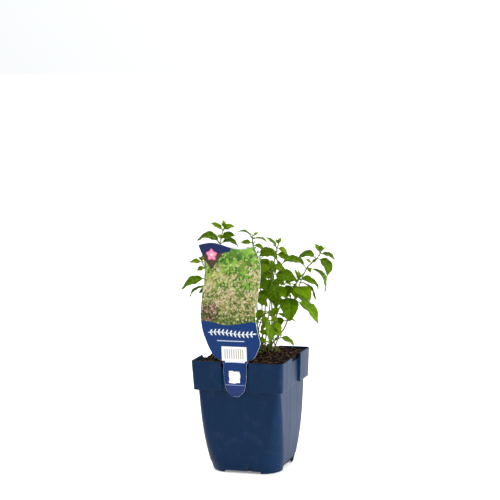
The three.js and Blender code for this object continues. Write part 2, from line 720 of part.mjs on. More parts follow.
function leafSolid(blade, root) {
  const { length } = blade;
  const small = length < SMALL_LEAF;
  const stations = small ? 2 : 3 + (length >= LARGE_LEAF ? 1 : 0);
  const folded = small ? [-1, 1] : [-1, 0, 1];
  const places = [
    { along: 0, width: 1, columns: [-1, 1] }, { along: PETIOLE, width: 1, columns: [-1, 1] }];
  for (let i = 1; i <= stations; i += 1) {
    const along = PETIOLE + (1 - PETIOLE) * i / (stations + 1);
    places.push({ along, width: i % 2 === 1 ? 1 + TOOTH : 1 - TOOTH, columns: folded });
  }
  places.push({ along: 1, width: 1, columns: [-1, 1] });
  const rows = places.map(({ along, width, columns }) => {
    const { point, across, face } = leafFrame(blade, root, along);
    const half = leafHalfWidth(length, along) * width;
    const line = (rise) => columns.map((column) => point.clone()
      .addScaledVector(across, column * half)
      .addScaledVector(face, Math.abs(column) * half * FOLD + rise));
    return { front: line(BLADE_THICKNESS / 2), back: line(-BLADE_THICKNESS / 2) };
  });
  return toSolid(ribbon(rows));
}

// Sample points all over a leaf, to keep leaves of different shoots apart
function leafSamples(blade, root) {
  const samples = [];
  for (let row = 1; row <= 12; row += 1) {
    const { point, across, face } = leafFrame(blade, root, row / 12);
    const half = leafHalfWidth(blade.length, row / 12);
    for (let column = -3; column <= 3; column += 1) {
      const offset = half * column / 3;
      samples.push({
        foot: row <= 4,
        point: point.clone().addScaledVector(across, offset)
          .addScaledVector(face, Math.abs(offset) * FOLD),
      });
    }
  }
  return samples;
}

// Distance from a leaf's samples to everything of other owners. Leaves of its own shoot
// may come nearer, and near their feet they may touch.
function clearanceOf(samples, owner, taken) {
  let nearest = Infinity;
  for (const { point, foot } of samples) {
    if (point.z < LEAF_FLOOR) return -1;
    for (const other of taken) {
      const own = other.owner === owner;
      if (!own || !(foot || other.foot)) {
        const distance = point.distanceTo(other.point);
        nearest = Math.min(nearest, own ? distance * LEAF_CLEARANCE / OWN_CLEARANCE : distance);
      }
    }
  }
  return nearest;
}

// A leaf keeps its own direction where it can. Where it would come too near another shoot,
// it turns round its stem or lifts, a step at a time, until it is clear.
function settle(blade, root, owner, taken) {
  let best = { clearance: -Infinity };
  for (const lift of LIFT_STEPS) {
    for (const turn of TURN_STEPS) {
      const moved = { ...blade, turn: blade.turn + turn, lift: blade.lift + lift };
      const samples = leafSamples(moved, root);
      const clearance = clearanceOf(samples, owner, taken);
      if (clearance > best.clearance) best = { moved, samples, clearance };
      if (clearance >= LEAF_CLEARANCE) return best;
    }
  }
  return best;
}

function makeShoots() {
  const taken = [];
  const toPlant = new THREE.Matrix4().makeRotationZ(-PLANT_TURN);
  for (let row = 0; row <= 60; row += 1) {
    for (let column = 0; column <= 20; column += 1) {
      const point = labelPoint(row / 60, column / 20).applyMatrix4(toPlant);
      taken.push({ owner: 'label', foot: false, point });
    }
  }
  const shoots = SHOOTS.map((shoot) => {
    const curve = curveOf(shoot);
    for (let i = 0; i <= 80; i += 1) {
      taken.push({ owner: shoot.name, foot: true, point: curve.getPoint(i / 80) });
    }
    return { ...shoot, curve, steps: (shoot.route.length - 1) * STEM_STEPS };
  });
  let holes = null;
  const solids = shoots.map(({ name, curve, steps, leaves }) => {
    let solid = stemSolid(curve, steps);
    const hole = holeSolid(curve, steps);
    holes = holes ? holes.add(hole) : hole;
    for (const blade of leaves) {
      const root = curve.getPoint(blade.at);
      const { moved, samples } = settle(blade, root, name, taken);
      for (const sample of samples) taken.push({ owner: name, ...sample });
      solid = solid.add(leafSolid(moved, root));
    }
    return { name, solid: outerSkin(solid) };
  });
  return { solids, holes };
}

// The scene graph
const FINISH = {
  pot: { color: '#1a3a66', roughness: 0.4, metalness: 0 },
  soil: { color: '#2b1e16', roughness: 0.95, metalness: 0 },
  label: { color: '#24427a', roughness: 0.3, metalness: 0 },
  shoot: { color: '#4f7d1c', roughness: 0.6, metalness: 0 },
};

function makeMesh(name, solid, finish) {
  const mesh = new THREE.Mesh(toGeometry(solid), new THREE.MeshStandardMaterial(finish));
  mesh.name = name;
  return mesh;
}

const { solids, holes } = makeShoots();
const turned = toGeometry(holes).rotateZ(PLANT_TURN);

const plant = new THREE.Group();
plant.rotation.z = PLANT_TURN;
for (const { name, solid } of solids) plant.add(makeMesh(name, solid, FINISH.shoot));

const model = new THREE.Group();
model.name = 'potted_lesser_calamint';
model.add(makeMesh('pot', makePot(), FINISH.pot));
model.add(makeMesh('potting_soil', makeSoil(toSolid(turned)), FINISH.soil));
model.add(makeMesh('plant_label', makeLabel(), FINISH.label));
model.add(plant);

export default model;
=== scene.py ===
import bpy
import numpy as np
from mathutils import Matrix, Vector


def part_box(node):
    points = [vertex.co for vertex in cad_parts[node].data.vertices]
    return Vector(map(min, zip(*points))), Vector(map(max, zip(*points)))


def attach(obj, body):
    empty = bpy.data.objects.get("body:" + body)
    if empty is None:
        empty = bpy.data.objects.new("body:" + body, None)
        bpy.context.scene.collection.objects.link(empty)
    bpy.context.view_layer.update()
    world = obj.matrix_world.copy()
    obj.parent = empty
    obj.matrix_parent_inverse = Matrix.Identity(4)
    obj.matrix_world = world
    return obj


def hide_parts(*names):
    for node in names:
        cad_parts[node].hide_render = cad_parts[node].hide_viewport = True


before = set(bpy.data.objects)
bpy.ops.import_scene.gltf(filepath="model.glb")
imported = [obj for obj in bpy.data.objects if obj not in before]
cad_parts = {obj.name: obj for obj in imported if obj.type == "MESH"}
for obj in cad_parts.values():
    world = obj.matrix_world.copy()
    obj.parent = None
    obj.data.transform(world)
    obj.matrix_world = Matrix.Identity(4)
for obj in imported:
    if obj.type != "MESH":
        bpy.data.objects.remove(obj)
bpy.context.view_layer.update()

# The camera stands a little to the right of the label side and looks slightly down on the
# pot from nearly two metres, as for a catalogue picture.
MM = 0.001
CAMERA_PLACE = Vector((623.7, -1845.8, 517.9)) * MM
CAMERA_AIM = Vector((-9.5, 32.2, 248.7)) * MM
CAMERA_ROLL = np.radians(-1.3)
LENS_MM = 122.98
SENSOR_MM = 36.0

lens = bpy.data.cameras.new("camera")
lens.lens = LENS_MM
lens.sensor_width = SENSOR_MM
camera = bpy.data.objects.new("camera", lens)
look = (CAMERA_AIM - CAMERA_PLACE).to_track_quat("-Z", "Y").to_matrix()
camera.matrix_world = Matrix.Translation(CAMERA_PLACE) @ (
    look @ Matrix.Rotation(CAMERA_ROLL, 3, "Z")).to_4x4()
bpy.context.scene.collection.objects.link(camera)
bpy.context.scene.camera = camera

# The studio is a pale floor that runs far back, a pale sky and soft boxes: a large one
# behind to the right, which lights the leaves from behind and puts the sheen on the pot's
# right side, one above on the left, a small one on the right and a weak one in front.
FLOOR_REACH = 14.0              # metres, as all sizes in the studio
FLOOR_GLOW = 0.22
SKY_BRIGHT_SIDE = (0.50, 0.70, 0.51)
SKY_DIM, SKY_BRIGHT = 0.25, 1.25
SOFT_BOXES = (                  # name, place, aim, width, power in watts, colour
    ("soft_box_back_right", (1.3, 1.7, 1.1), (0.0, 0.0, 0.1), 1.5, 24, "#fffaf2"),
    ("soft_box_top_left", (-0.8, -0.3, 1.7), (0.0, 0.0, 0.15), 1.0, 22, "#ffffff"),
    ("soft_box_front", (0.2, -2.2, 1.5), (0.0, 0.0, 0.2), 1.0, 5, "#ffffff"),
    ("soft_box_right", (1.9, -0.35, 0.4), (0.0, 0.0, 0.1), 0.8, 33, "#ffffff"),
)


def linear(code):
    """The linear colour, with an alpha of 1, of an sRGB hex value such as "#1b3f78"."""
    parts = np.array([int(code[i:i + 2], 16) / 255 for i in (1, 3, 5)])
    bent = ((parts + 0.055) / 1.055) ** 2.4
    return (*np.where(parts <= 0.04045, parts / 12.92, bent).tolist(), 1.0)


def add_node(tree, kind, inputs=(), **settings):
    """Adds a node of a kind to a tree, with its settings. Each of its inputs, by name or
    number, is a value, or another node's output to link from."""
    node = tree.nodes.new(kind)
    for name, value in settings.items():
        setattr(node, name, value)
    for name, value in dict(inputs).items():
        if isinstance(value, bpy.types.NodeSocket):
            tree.links.new(value, node.inputs[name])
        else:
            node.inputs[name].default_value = value
    return node


def finish_material(name, inputs):
    """A material of one Principled shader. What `inputs` gives is called with the node tree
    and returns the shader's inputs."""
    material = bpy.data.materials.new(name)
    material.use_nodes = True
    tree = material.node_tree
    tree.nodes.clear()
    shader = add_node(tree, "ShaderNodeBsdfPrincipled", inputs(tree))
    add_node(tree, "ShaderNodeOutputMaterial", {"Surface": shader.outputs["BSDF"]})
    return material


def studio_paint(tree):
    """Matt white acrylic of a light table: even, with no gloss, faintly lit from below."""
    return {"Base Color": linear("#f7f7f6"), "Roughness": 0.85, "Specular IOR Level": 0.1,
            "Emission Color": linear("#ffffff"), "Emission Strength": FLOOR_GLOW}


floor_mesh = bpy.data.meshes.new("studio_floor")
floor_mesh.from_pydata(
    [(x * FLOOR_REACH, y * FLOOR_REACH, 0) for x, y in ((-1, -1), (1, -1), (1, 1), (-1, 1))],
    [], [(0, 1, 2, 3)])
studio_floor = bpy.data.objects.new("studio_floor", floor_mesh)
floor_mesh.materials.append(finish_material("matt_studio_paint", studio_paint))
bpy.context.scene.collection.objects.link(studio_floor)

sky = bpy.data.worlds.new("studio")
sky.use_nodes = True
backdrop = sky.node_tree.nodes["Background"]
toward = add_node(sky.node_tree, "ShaderNodeTexCoord").outputs["Generated"]
from_behind = add_node(sky.node_tree, "ShaderNodeVectorMath", {
    0: toward, 1: SKY_BRIGHT_SIDE}, operation="DOT_PRODUCT")
glow = add_node(sky.node_tree, "ShaderNodeMapRange", {
    "Value": from_behind.outputs["Value"], "From Min": -0.6, "From Max": 0.7,
    "To Min": SKY_DIM, "To Max": SKY_BRIGHT})
backdrop.inputs["Color"].default_value = linear("#f8fafc")
sky.node_tree.links.new(glow.outputs["Result"], backdrop.inputs["Strength"])
bpy.context.scene.world = sky
bpy.context.scene.view_settings.view_transform = "Standard"

for name, place, aim, width, power, colour in SOFT_BOXES:
    light = bpy.data.lights.new(name, "AREA")
    light.shape = "SQUARE"
    light.size = width
    light.energy = power
    light.color = linear(colour)[:3]
    lamp = bpy.data.objects.new(name, light)
    turn = (Vector(aim) - Vector(place)).to_track_quat("-Z", "Y").to_matrix().to_4x4()
    lamp.matrix_world = Matrix.Translation(place) @ turn
    bpy.context.scene.collection.objects.link(lamp)

# The pot is one moulding of blue polypropylene, 1.2 mm thick: a tapered square body, a wide
# band with a label recess in each side, and a skirt with corner feet and drain slots.
pot_high = np.array(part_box("pot")[1]) / MM
RIM_HALF = pot_high[0]
RIM_HEIGHT = pot_high[2]
WALL = 1.2
BAND_BOTTOM = RIM_HEIGHT - 34.0
BAND_DRAFT = 1.5
BAND_CORNER = 4.5
BODY_TOP_HALF = 49.3
BODY_STRAIGHT_DRAFT = 0.4
BODY_CURVED_DRAFT = 6.9
BODY_CORNER_TOP = 5.0
BODY_CORNER_BASE = 24.0
BASE_STEP_HEIGHT = 11.0
BASE_STEP = 0.5
BASE_ROUNDING = 1.8
RIM_ROUNDING = 0.6
FLOOR_UNDERSIDE = 3.0
FLOOR_THICKNESS = 1.4
FLOOR_TOP = FLOOR_UNDERSIDE + FLOOR_THICKNESS
FOOT_RADIUS = 12.0
RECESS_HALF_WIDTH = 16.5
RECESS_FACE = 51.2
RECESS_CENTRES = (-2.0, 0.0, 0.0, 0.0)   # on the label side, right, back and left
RECESS_RIM_DROP = 7.0
SKIRT_HALF_WIDTH = 22.0
SKIRT_LIFT = 2.4
DRAIN_SLOT_HALF_WIDTH = 19.0
DRAIN_SLOT_HEIGHT = 6.0
DRAIN_SLOT_END = 37.0
DRAIN_NOTCH = (6.0, 11.0, 5.6)           # from, to, height
SKIRT_INSET = 2.2
BASE_RINGS = (4, 6, 8, 9.5, BASE_STEP_HEIGHT - BASE_STEP, BASE_STEP_HEIGHT)
BAND_LIP = ((0.01, 0.5), (0.15, 0.15), (0.5, 0))   # height over the band's foot, and inset
INSIDE_RINGS = (80, 60, 40, 25)
SIDE_COLUMNS = 44
RECESS_COLUMN = 8                        # the points from here to the next make a recess edge
RECESS_EDGE = 0.25                       # half of what lies between those two
CORNER_COLUMNS = 20
SIDES = np.array([((0, -1), (1, 0)), ((1, 0), (0, 1)), ((0, 1), (-1, 0)), ((-1, 0), (0, -1))])


def outside_at(height):
    """Half width and corner radius of the pot's outside at a height. The body's half width
    falls with the depth under the band, linearly and with its cube, and its corner grows
    with the depth. The band leans in evenly from the rim."""
    depth = (BAND_BOTTOM - height) / BAND_BOTTOM
    if height > BAND_BOTTOM:
        lean = BAND_DRAFT * (RIM_HEIGHT - height) / (RIM_HEIGHT - BAND_BOTTOM)
        return RIM_HALF - lean, BAND_CORNER
    half = BODY_TOP_HALF - BODY_STRAIGHT_DRAFT * depth - BODY_CURVED_DRAFT * depth ** 3
    step = BASE_STEP if height < BASE_STEP_HEIGHT else 0.0
    return half - step, BODY_CORNER_TOP + (BODY_CORNER_BASE - BODY_CORNER_TOP) * depth


def square_ring(half, corner, edge=None):
    """A ring of points round a square with rounded corners, anticlockwise from the label
    side: on each side a straight line at distance `half`, then a quarter circle. Where an
    `edge` is given, points of each side gather at that distance from its recess centre."""
    reach = half - corner
    rows = []
    for (normal, tangent), centre in zip(SIDES, RECESS_CENTRES):
        along = np.linspace(-reach, reach, SIDE_COLUMNS)
        if edge is not None:
            last = SIDE_COLUMNS - 1
            stops = [0, RECESS_COLUMN, RECESS_COLUMN + 1,
                     last - RECESS_COLUMN - 1, last - RECESS_COLUMN, last]
            at = [-reach, centre - edge - RECESS_EDGE, centre - edge + RECESS_EDGE,
                  centre + edge - RECESS_EDGE, centre + edge + RECESS_EDGE, reach]
            along = np.interp(np.arange(SIDE_COLUMNS), stops, at)
        turn = np.linspace(0, np.pi / 2, CORNER_COLUMNS + 2)[1:-1]
        rows.append(normal * half + tangent * along[:, None])
        rows.append((normal + tangent) * reach + corner * (
            normal * np.cos(turn)[:, None] + tangent * np.sin(turn)[:, None]))
    return np.concatenate(rows)


def within(value, low, high, soft=0.4):
    """1 between two bounds and 0 outside them, with a straight change `soft` to each side."""
    return np.clip(np.minimum(value - low, high - value) / (2 * soft) + 0.5, 0, 1)


def in_recess(points, edge):
    """For each point of a ring, 1 where its side has a label recess and 0 elsewhere."""
    share = np.zeros(len(points))
    for (normal, tangent), centre in zip(SIDES, RECESS_CENTRES):
        facing = points @ normal > np.abs(points @ tangent)
        share += facing * within(points @ tangent, centre - edge, centre + edge, 0.01)
    return share


def skirt_height(points):
    """How high the skirt's lower edge is at each point: on the feet 0, between them lifted,
    and higher at the notch on the front and back and at the drain slots on the sides."""
    x, y = points.T
    across = np.abs(y) > np.abs(x)
    lifted = across * SKIRT_LIFT * within(x, -SKIRT_HALF_WIDTH, SKIRT_HALF_WIDTH)
    start, end, height = DRAIN_NOTCH
    notch = across * height * within(x * -np.sign(y), start, end)
    slot = ~across * DRAIN_SLOT_HEIGHT * within(y, -DRAIN_SLOT_HALF_WIDTH, DRAIN_SLOT_HALF_WIDTH)
    return np.maximum(np.maximum(lifted, notch), slot)


def wall_ring(height, inset):
    """The pot's wall at a height, `inset` from its outside: a square ring whose points lie
    no further out than the recess face where they are in a recess, lowered there towards
    the dipped rim, and raised over the lifted skirt near the base."""
    half, corner = outside_at(height)
    half, corner = half - inset, max(corner - inset, 1.0)
    in_band = height > BAND_BOTTOM
    edge = RECESS_HALF_WIDTH + inset
    points = square_ring(half, corner, edge if in_band else None)
    heights = np.full(len(points), float(height))
    if in_band:
        share = in_recess(points, edge)
        face = RECESS_FACE - inset
        for normal, _ in SIDES:
            beyond = np.clip(points @ normal - face, 0, None) * share
            points -= normal * beyond[:, None]
        dip = RECESS_RIM_DROP * (height - BAND_BOTTOM) / (RIM_HEIGHT - BAND_BOTTOM)
        heights -= share * dip
    if height < BASE_STEP_HEIGHT:
        lowest = skirt_height(points)
        heights = lowest + heights * (BASE_STEP_HEIGHT - lowest) / BASE_STEP_HEIGHT
    return np.column_stack([points, heights])


def pot_wall():
    """The wall as one closed skin: rings up the outside from a quarter circle at the base,
    over the rim as half a circle, down the inside and round under the skirt's edge."""
    body = (*BASE_RINGS, *np.linspace(13, BAND_BOTTOM - 1, 26), BAND_BOTTOM)
    band = np.linspace(BAND_BOTTOM + 3, RIM_HEIGHT - 2, 10)
    up = [(BASE_ROUNDING * (1 - np.cos(turn)), BASE_ROUNDING * (1 - np.sin(turn)))
          for turn in np.linspace(0, np.pi / 2, 5)]
    up += [(z, 0) for z in body]
    up += [(BAND_BOTTOM + rise, inset) for rise, inset in BAND_LIP]
    up += [(z, 0) for z in band]
    up += [(RIM_HEIGHT - RIM_ROUNDING * (1 - np.sin(turn)), RIM_ROUNDING * (1 - np.cos(turn)))
           for turn in np.linspace(0, np.pi, 9)]
    down = [(z, WALL) for z in np.linspace(RIM_HEIGHT - 4, BAND_BOTTOM + WALL, 6)]
    rings = [wall_ring(z, inset) for z, inset in up + down]
    for z in (BAND_BOTTOM + WALL - 0.01, *INSIDE_RINGS, FLOOR_TOP, 2.5, 0.2):
        half, corner = outside_at(min(z, BAND_BOTTOM))
        inset = WALL if z > FLOOR_TOP else SKIRT_INSET
        points = square_ring(half - inset, max(corner - inset, 1.0))
        lowest = skirt_height(points) if z < BASE_STEP_HEIGHT else 0.0
        heights = np.maximum(np.full(len(points), z), lowest + 0.1)
        rings.append(np.column_stack([points, heights]))
    return np.array(rings)


def grid_quads(rows, columns, start=0, close_rows=False, close_columns=False):
    """Quads of a grid stored row by row: each joins (r, c), (r, c+1), (r+1, c+1), (r+1, c).
    The last row or column is joined to the first where it is closed."""
    r, c = np.meshgrid(np.arange(rows if close_rows else rows - 1),
                       np.arange(columns if close_columns else columns - 1), indexing="ij")
    r2, c2 = (r + 1) % rows, (c + 1) % columns
    quads = [r * columns + c, r * columns + c2, r2 * columns + c2, r2 * columns + c]
    return start + np.stack(quads, -1).reshape(-1, 4)


def tube_quads(rows, columns, start=0):
    """Quads of a tube of rings, and one face over each end."""
    ends = start + np.arange(columns)
    return [grid_quads(rows, columns, start, close_columns=True),
            ends[None, ::-1], ends[None] + (rows - 1) * columns]


def add_piece(name, points, faces, *materials, sharp=35):
    """A piece of the object from points in millimetres and arrays of faces, each array with
    as many corners to a face. Edges steeper than `sharp` degrees stay crisp."""
    mesh = bpy.data.meshes.new(name)
    points = np.asarray(points, float).reshape(-1, 3)
    sizes = np.concatenate([np.full(len(group), group.shape[1]) for group in faces])
    corners = np.concatenate([group.ravel() for group in faces])
    mesh.vertices.add(len(points))
    mesh.vertices.foreach_set("co", (points * MM).ravel())
    mesh.loops.add(len(corners))
    mesh.loops.foreach_set("vertex_index", corners.astype(np.int32))
    mesh.polygons.add(len(sizes))
    starts = np.concatenate([[0], np.cumsum(sizes)[:-1]])
    mesh.polygons.foreach_set("loop_start", starts.astype(np.int32))
    mesh.update(calc_edges=True)
    mesh.shade_smooth()
    mesh.set_sharp_from_angle(angle=np.radians(sharp))
    for material in materials:
        mesh.materials.append(material)
    piece = bpy.data.objects.new(name, mesh)
    bpy.context.scene.collection.objects.link(piece)
    return piece


def moulded_polypropylene(tree):
    """Injection moulded polypropylene: satin, with faint upright flow streaks from the
    gate, a very fine skin grain, and a little dried dust in clouds."""
    place = add_node(tree, "ShaderNodeTexCoord").outputs["Object"]
    streak_scale = add_node(tree, "ShaderNodeMapping", {
        "Vector": place, "Scale": (1 / (7 * MM), 1 / (7 * MM), 1 / (160 * MM))})
    streaks = add_node(tree, "ShaderNodeTexNoise", {
        "Vector": streak_scale.outputs["Vector"], "Scale": 1.0, "Detail": 3.0})
    clouds = add_node(tree, "ShaderNodeTexNoise", {
        "Vector": place, "Scale": 1 / (11 * MM), "Detail": 5.0, "Roughness": 0.65})
    colour = add_node(tree, "ShaderNodeMix", {
        0: streaks.outputs["Fac"], 6: linear("#001d38"), 7: linear("#012548")},
        data_type="RGBA")
    dust_shape = add_node(tree, "ShaderNodeMapRange", {
        "Value": clouds.outputs["Fac"], "From Min": 0.52, "From Max": 0.8,
        "To Min": 0.0, "To Max": 0.05})
    dusty = add_node(tree, "ShaderNodeMix", {
        0: dust_shape.outputs["Result"], 6: colour.outputs[2], 7: linear("#7d8590")},
        data_type="RGBA")
    roughness = add_node(tree, "ShaderNodeMapRange", {
        "Value": streaks.outputs["Fac"], "From Min": 0.3, "From Max": 0.7,
        "To Min": 0.36, "To Max": 0.48})
    grain = add_node(tree, "ShaderNodeTexNoise", {
        "Vector": place, "Scale": 1 / (0.9 * MM), "Detail": 2.0})
    ripple = add_node(tree, "ShaderNodeMath", {
        0: streaks.outputs["Fac"], 1: grain.outputs["Fac"]}, operation="ADD")
    bump = add_node(tree, "ShaderNodeBump", {
        "Height": ripple.outputs["Value"], "Strength": 0.25, "Distance": 0.25 * MM})
    return {"Base Color": dusty.outputs[2], "Roughness": roughness.outputs["Result"],
            "IOR": 1.49, "Specular IOR Level": 0.11, "Normal": bump.outputs["Normal"]}


blue_polypropylene = finish_material("blue_moulded_polypropylene", moulded_polypropylene)

wall = pot_wall()
wall_rows, wall_columns = wall.shape[:2]
pot_points = [wall.reshape(-1, 3)]
pot_faces = [grid_quads(wall_rows, wall_columns, close_rows=True, close_columns=True)]

# Floor plate between the slots, and the round foot under its middle
base_half, base_corner = outside_at(0.0)
plate_edge = square_ring(base_half - BASE_ROUNDING, base_corner - BASE_ROUNDING)
between = within(plate_edge[:, 1], -DRAIN_SLOT_HALF_WIDTH, DRAIN_SLOT_HALF_WIDTH)
cut = np.clip(plate_edge[:, 0], -DRAIN_SLOT_END, DRAIN_SLOT_END)
plate_edge[:, 0] += between * (cut - plate_edge[:, 0])
plate_levels = [(0.15, FLOOR_UNDERSIDE), (1.0, FLOOR_UNDERSIDE), (1.0, FLOOR_TOP),
                (0.15, FLOOR_TOP)]
plate = np.array([np.column_stack([plate_edge * share, np.full(len(plate_edge), z)])
                  for share, z in plate_levels])
round_turn = np.linspace(0, 2 * np.pi, 48, endpoint=False)
foot_edge = np.column_stack([np.cos(round_turn), np.sin(round_turn)])
foot_levels = [(FOOT_RADIUS - 0.5, 0.0), (FOOT_RADIUS, 0.4),
               (FOOT_RADIUS + 1, FLOOR_UNDERSIDE + 0.5)]
foot = np.array([np.column_stack([foot_edge * radius, np.full(len(foot_edge), z)])
                 for radius, z in foot_levels])
for rings in (plate, foot):
    start = sum(len(part) for part in pot_points)
    pot_faces += tube_quads(*rings.shape[:2], start)
    pot_points.append(rings.reshape(-1, 3))

pot = add_piece("pot_moulding", np.concatenate(pot_points), pot_faces, blue_polypropylene)
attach(pot, "root")
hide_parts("pot")

# The soil is moist dark peat with bark and coir fibres, filled to just under the rim and
# heaped round the plant, with loose crumbs on top.
PLANT_TURN = np.radians(18.7)
CROWN_U, CROWN_W = 14.0, 6.0
GAP = 0.3
SOIL_EDGE_DROP = 3.2
SOIL_MOUND = 6.0
SOIL_MOUND_SPREAD = 26.0
SOIL_LUMP = 0.7
SOIL_SIDE_RINGS = (25, 50, 75)
SOIL_TOP_RINGS = 76
LATTICE = 128
LATTICE_START = (57.3, 41.7)


def turned(x, y, angle):
    """Level coordinates turned anticlockwise: x cos - y sin, and x sin + y cos."""
    return x * np.cos(angle) - y * np.sin(angle), x * np.sin(angle) + y * np.cos(angle)


def smoothstep(value, low, high):
    """0 below `low`, 1 above `high`, and 3t²-2t³ between them."""
    t = np.clip((value - low) / (high - low), 0, 1)
    return t * t * (3 - 2 * t)


def smooth_noise(x, y, size, seed):
    """Random heights from -1 to 1 over a plane: seeded values on a square lattice `size`
    apart, which repeats, blended between its corners by smoothstep."""
    lattice = np.random.default_rng(seed).uniform(-1, 1, (LATTICE, LATTICE))
    x, y = x / size + LATTICE_START[0], y / size + LATTICE_START[1]
    left, near = np.floor(x).astype(int), np.floor(y).astype(int)
    across, away = smoothstep(x - left, 0, 1), smoothstep(y - near, 0, 1)
    left, right, near, far = (row % LATTICE for row in (left, left + 1, near, near + 1))
    low = lattice[left, near] * (1 - across) + lattice[right, near] * across
    high = lattice[left, far] * (1 - across) + lattice[right, far] * across
    return low * (1 - away) + high * away


CROWN = np.array(turned(CROWN_U, CROWN_W, PLANT_TURN))


def soil_height(x, y):
    """Height of the soil: level near the walls, a bell-shaped heap round the crown, and
    low lumps from crossed sine waves."""
    away = ((x - CROWN[0]) ** 2 + (y - CROWN[1]) ** 2) / (2 * SOIL_MOUND_SPREAD ** 2)
    lumps = np.sin(0.34 * x + 0.8) * np.cos(0.29 * y) + 0.6 * np.sin(0.5 * (x + y))
    return RIM_HEIGHT - SOIL_EDGE_DROP + SOIL_MOUND * np.exp(-away) + SOIL_LUMP * lumps


def crumbly_height(x, y):
    """The soil's height with crumbs: noise of 7, 3 and 1.4 mm lumps, sharpened upwards."""
    coarse = smooth_noise(x, y, 7.0, 1)
    middle = 1 - 2 * np.abs(smooth_noise(x, y, 3.0, 2))
    fine = 1 - 2 * np.abs(smooth_noise(x, y, 1.4, 3))
    return soil_height(x, y) + 0.5 * coarse + 0.55 * middle + 0.3 * fine - 0.3


def soil_body():
    """The soil as a tube of rings: up the inside of the pot's wall, then over the surface
    in rings that shrink towards the crown, with faces over both ends."""
    clear = WALL + GAP
    rings = []
    for z in (FLOOR_TOP + GAP, *SOIL_SIDE_RINGS, BAND_BOTTOM):
        half, corner = outside_at(z)
        ring = square_ring(half - clear, max(corner - clear, 1.0))
        rings.append(np.column_stack([ring, np.full(len(ring), z)]))
    ledge = wall_ring(BAND_BOTTOM + clear, clear)[:, :2]
    rings.append(np.column_stack([ledge, np.full(len(ledge), BAND_BOTTOM + clear)]))
    top = wall_ring(RIM_HEIGHT - SOIL_EDGE_DROP, clear)[:, :2]
    for share in np.linspace(1, 0.01, SOIL_TOP_RINGS):
        x, y = (top * share + CROWN * (1 - share)).T
        rings.append(np.column_stack([x, y, crumbly_height(x, y)]))
    return np.array(rings)


def peat(tree):
    """Moist peat: near black to warm brown in patches, matt, with a fine fibrous grain."""
    place = add_node(tree, "ShaderNodeTexCoord").outputs["Object"]
    patches = add_node(tree, "ShaderNodeTexNoise", {
        "Vector": place, "Scale": 1 / (9 * MM), "Detail": 6.0, "Roughness": 0.7})
    grains = add_node(tree, "ShaderNodeTexVoronoi", {
        "Vector": place, "Scale": 1 / (1.3 * MM)})
    tones = add_node(tree, "ShaderNodeValToRGB", {"Fac": patches.outputs["Fac"]})
    tones.color_ramp.elements[0].position = 0.34
    tones.color_ramp.elements[0].color = linear("#080503")
    tones.color_ramp.elements[1].position = 0.72
    tones.color_ramp.elements[1].color = linear("#2b1a0f")
    middle = tones.color_ramp.elements.new(0.52)
    middle.color = linear("#140c07")
    speckle = add_node(tree, "ShaderNodeMapRange", {
        "Value": grains.outputs["Distance"], "From Max": 0.8, "To Min": 1.5, "To Max": 0.3})
    colour = add_node(tree, "ShaderNodeHueSaturation", {
        "Color": tones.outputs["Color"], "Value": speckle.outputs["Result"]})
    bump = add_node(tree, "ShaderNodeBump", {
        "Height": grains.outputs["Distance"], "Strength": 0.7, "Distance": 0.5 * MM})
    return {"Base Color": colour.outputs["Color"], "Roughness": 0.9,
            "Specular IOR Level": 0.1, "Normal": bump.outputs["Normal"]}


dark_peat = finish_material("moist_dark_peat", peat)
soil_rings = soil_body()
soil = add_piece("potting_soil_fill", soil_rings, tube_quads(*soil_rings.shape[:2]),
                 dark_peat, sharp=60)
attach(soil, "root")
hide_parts("potting_soil")

# Crumbs of peat and bark lie loose on the soil, and reddish coir fibres curl out of it,
# most of them near the plant.
CRUMBS = 1100
CRUMB_RADIUS, CRUMB_RADIUS_SPREAD = 0.5, 1.5
FIBRES = 330
FIBRE_STATIONS = 7
FIBRE_LENGTHS = (4, 13)
FIBRE_RADII = (0.14, 0.36)
FIBRE_RISES = (0.4, 2.2)
FIBRE_SINK = 0.4
FIBRE_SPREAD = 30               # from the crown
FIBRE_LEAST_SHARE = 0.35        # of them stay far from it
FIBRE_MARGIN, FIBRE_MARGIN_FRONT = 4.5, 7.5
LOOSE_REACH = 50
RIM_MARGIN = 6
NECK_FRONT, NECK_HALF_WIDTH = 45, 22     # where the label's neck is in the way
RECESS_BACK, RECESS_REACH = 47, 20       # and where the recesses are


def scatter(count, seed):
    """Seeded places on the soil inside the rim, clear of the label's neck and of the
    recesses, and the generator that drew them."""
    draw = np.random.default_rng(seed)
    places = draw.uniform(-LOOSE_REACH, LOOSE_REACH, (count * 2, 2))
    neck_side = np.abs(places[:, 0] - RECESS_CENTRES[0]) < NECK_HALF_WIDTH
    kept = (np.abs(places).max(1) < RIM_HALF - RIM_MARGIN) & ~(
        (places[:, 1] < -NECK_FRONT) & neck_side)
    for normal, _ in SIDES:
        kept &= ~((places @ normal > RECESS_BACK) & (np.abs(places).min(1) < RECESS_REACH))
    return places[kept][:count], draw


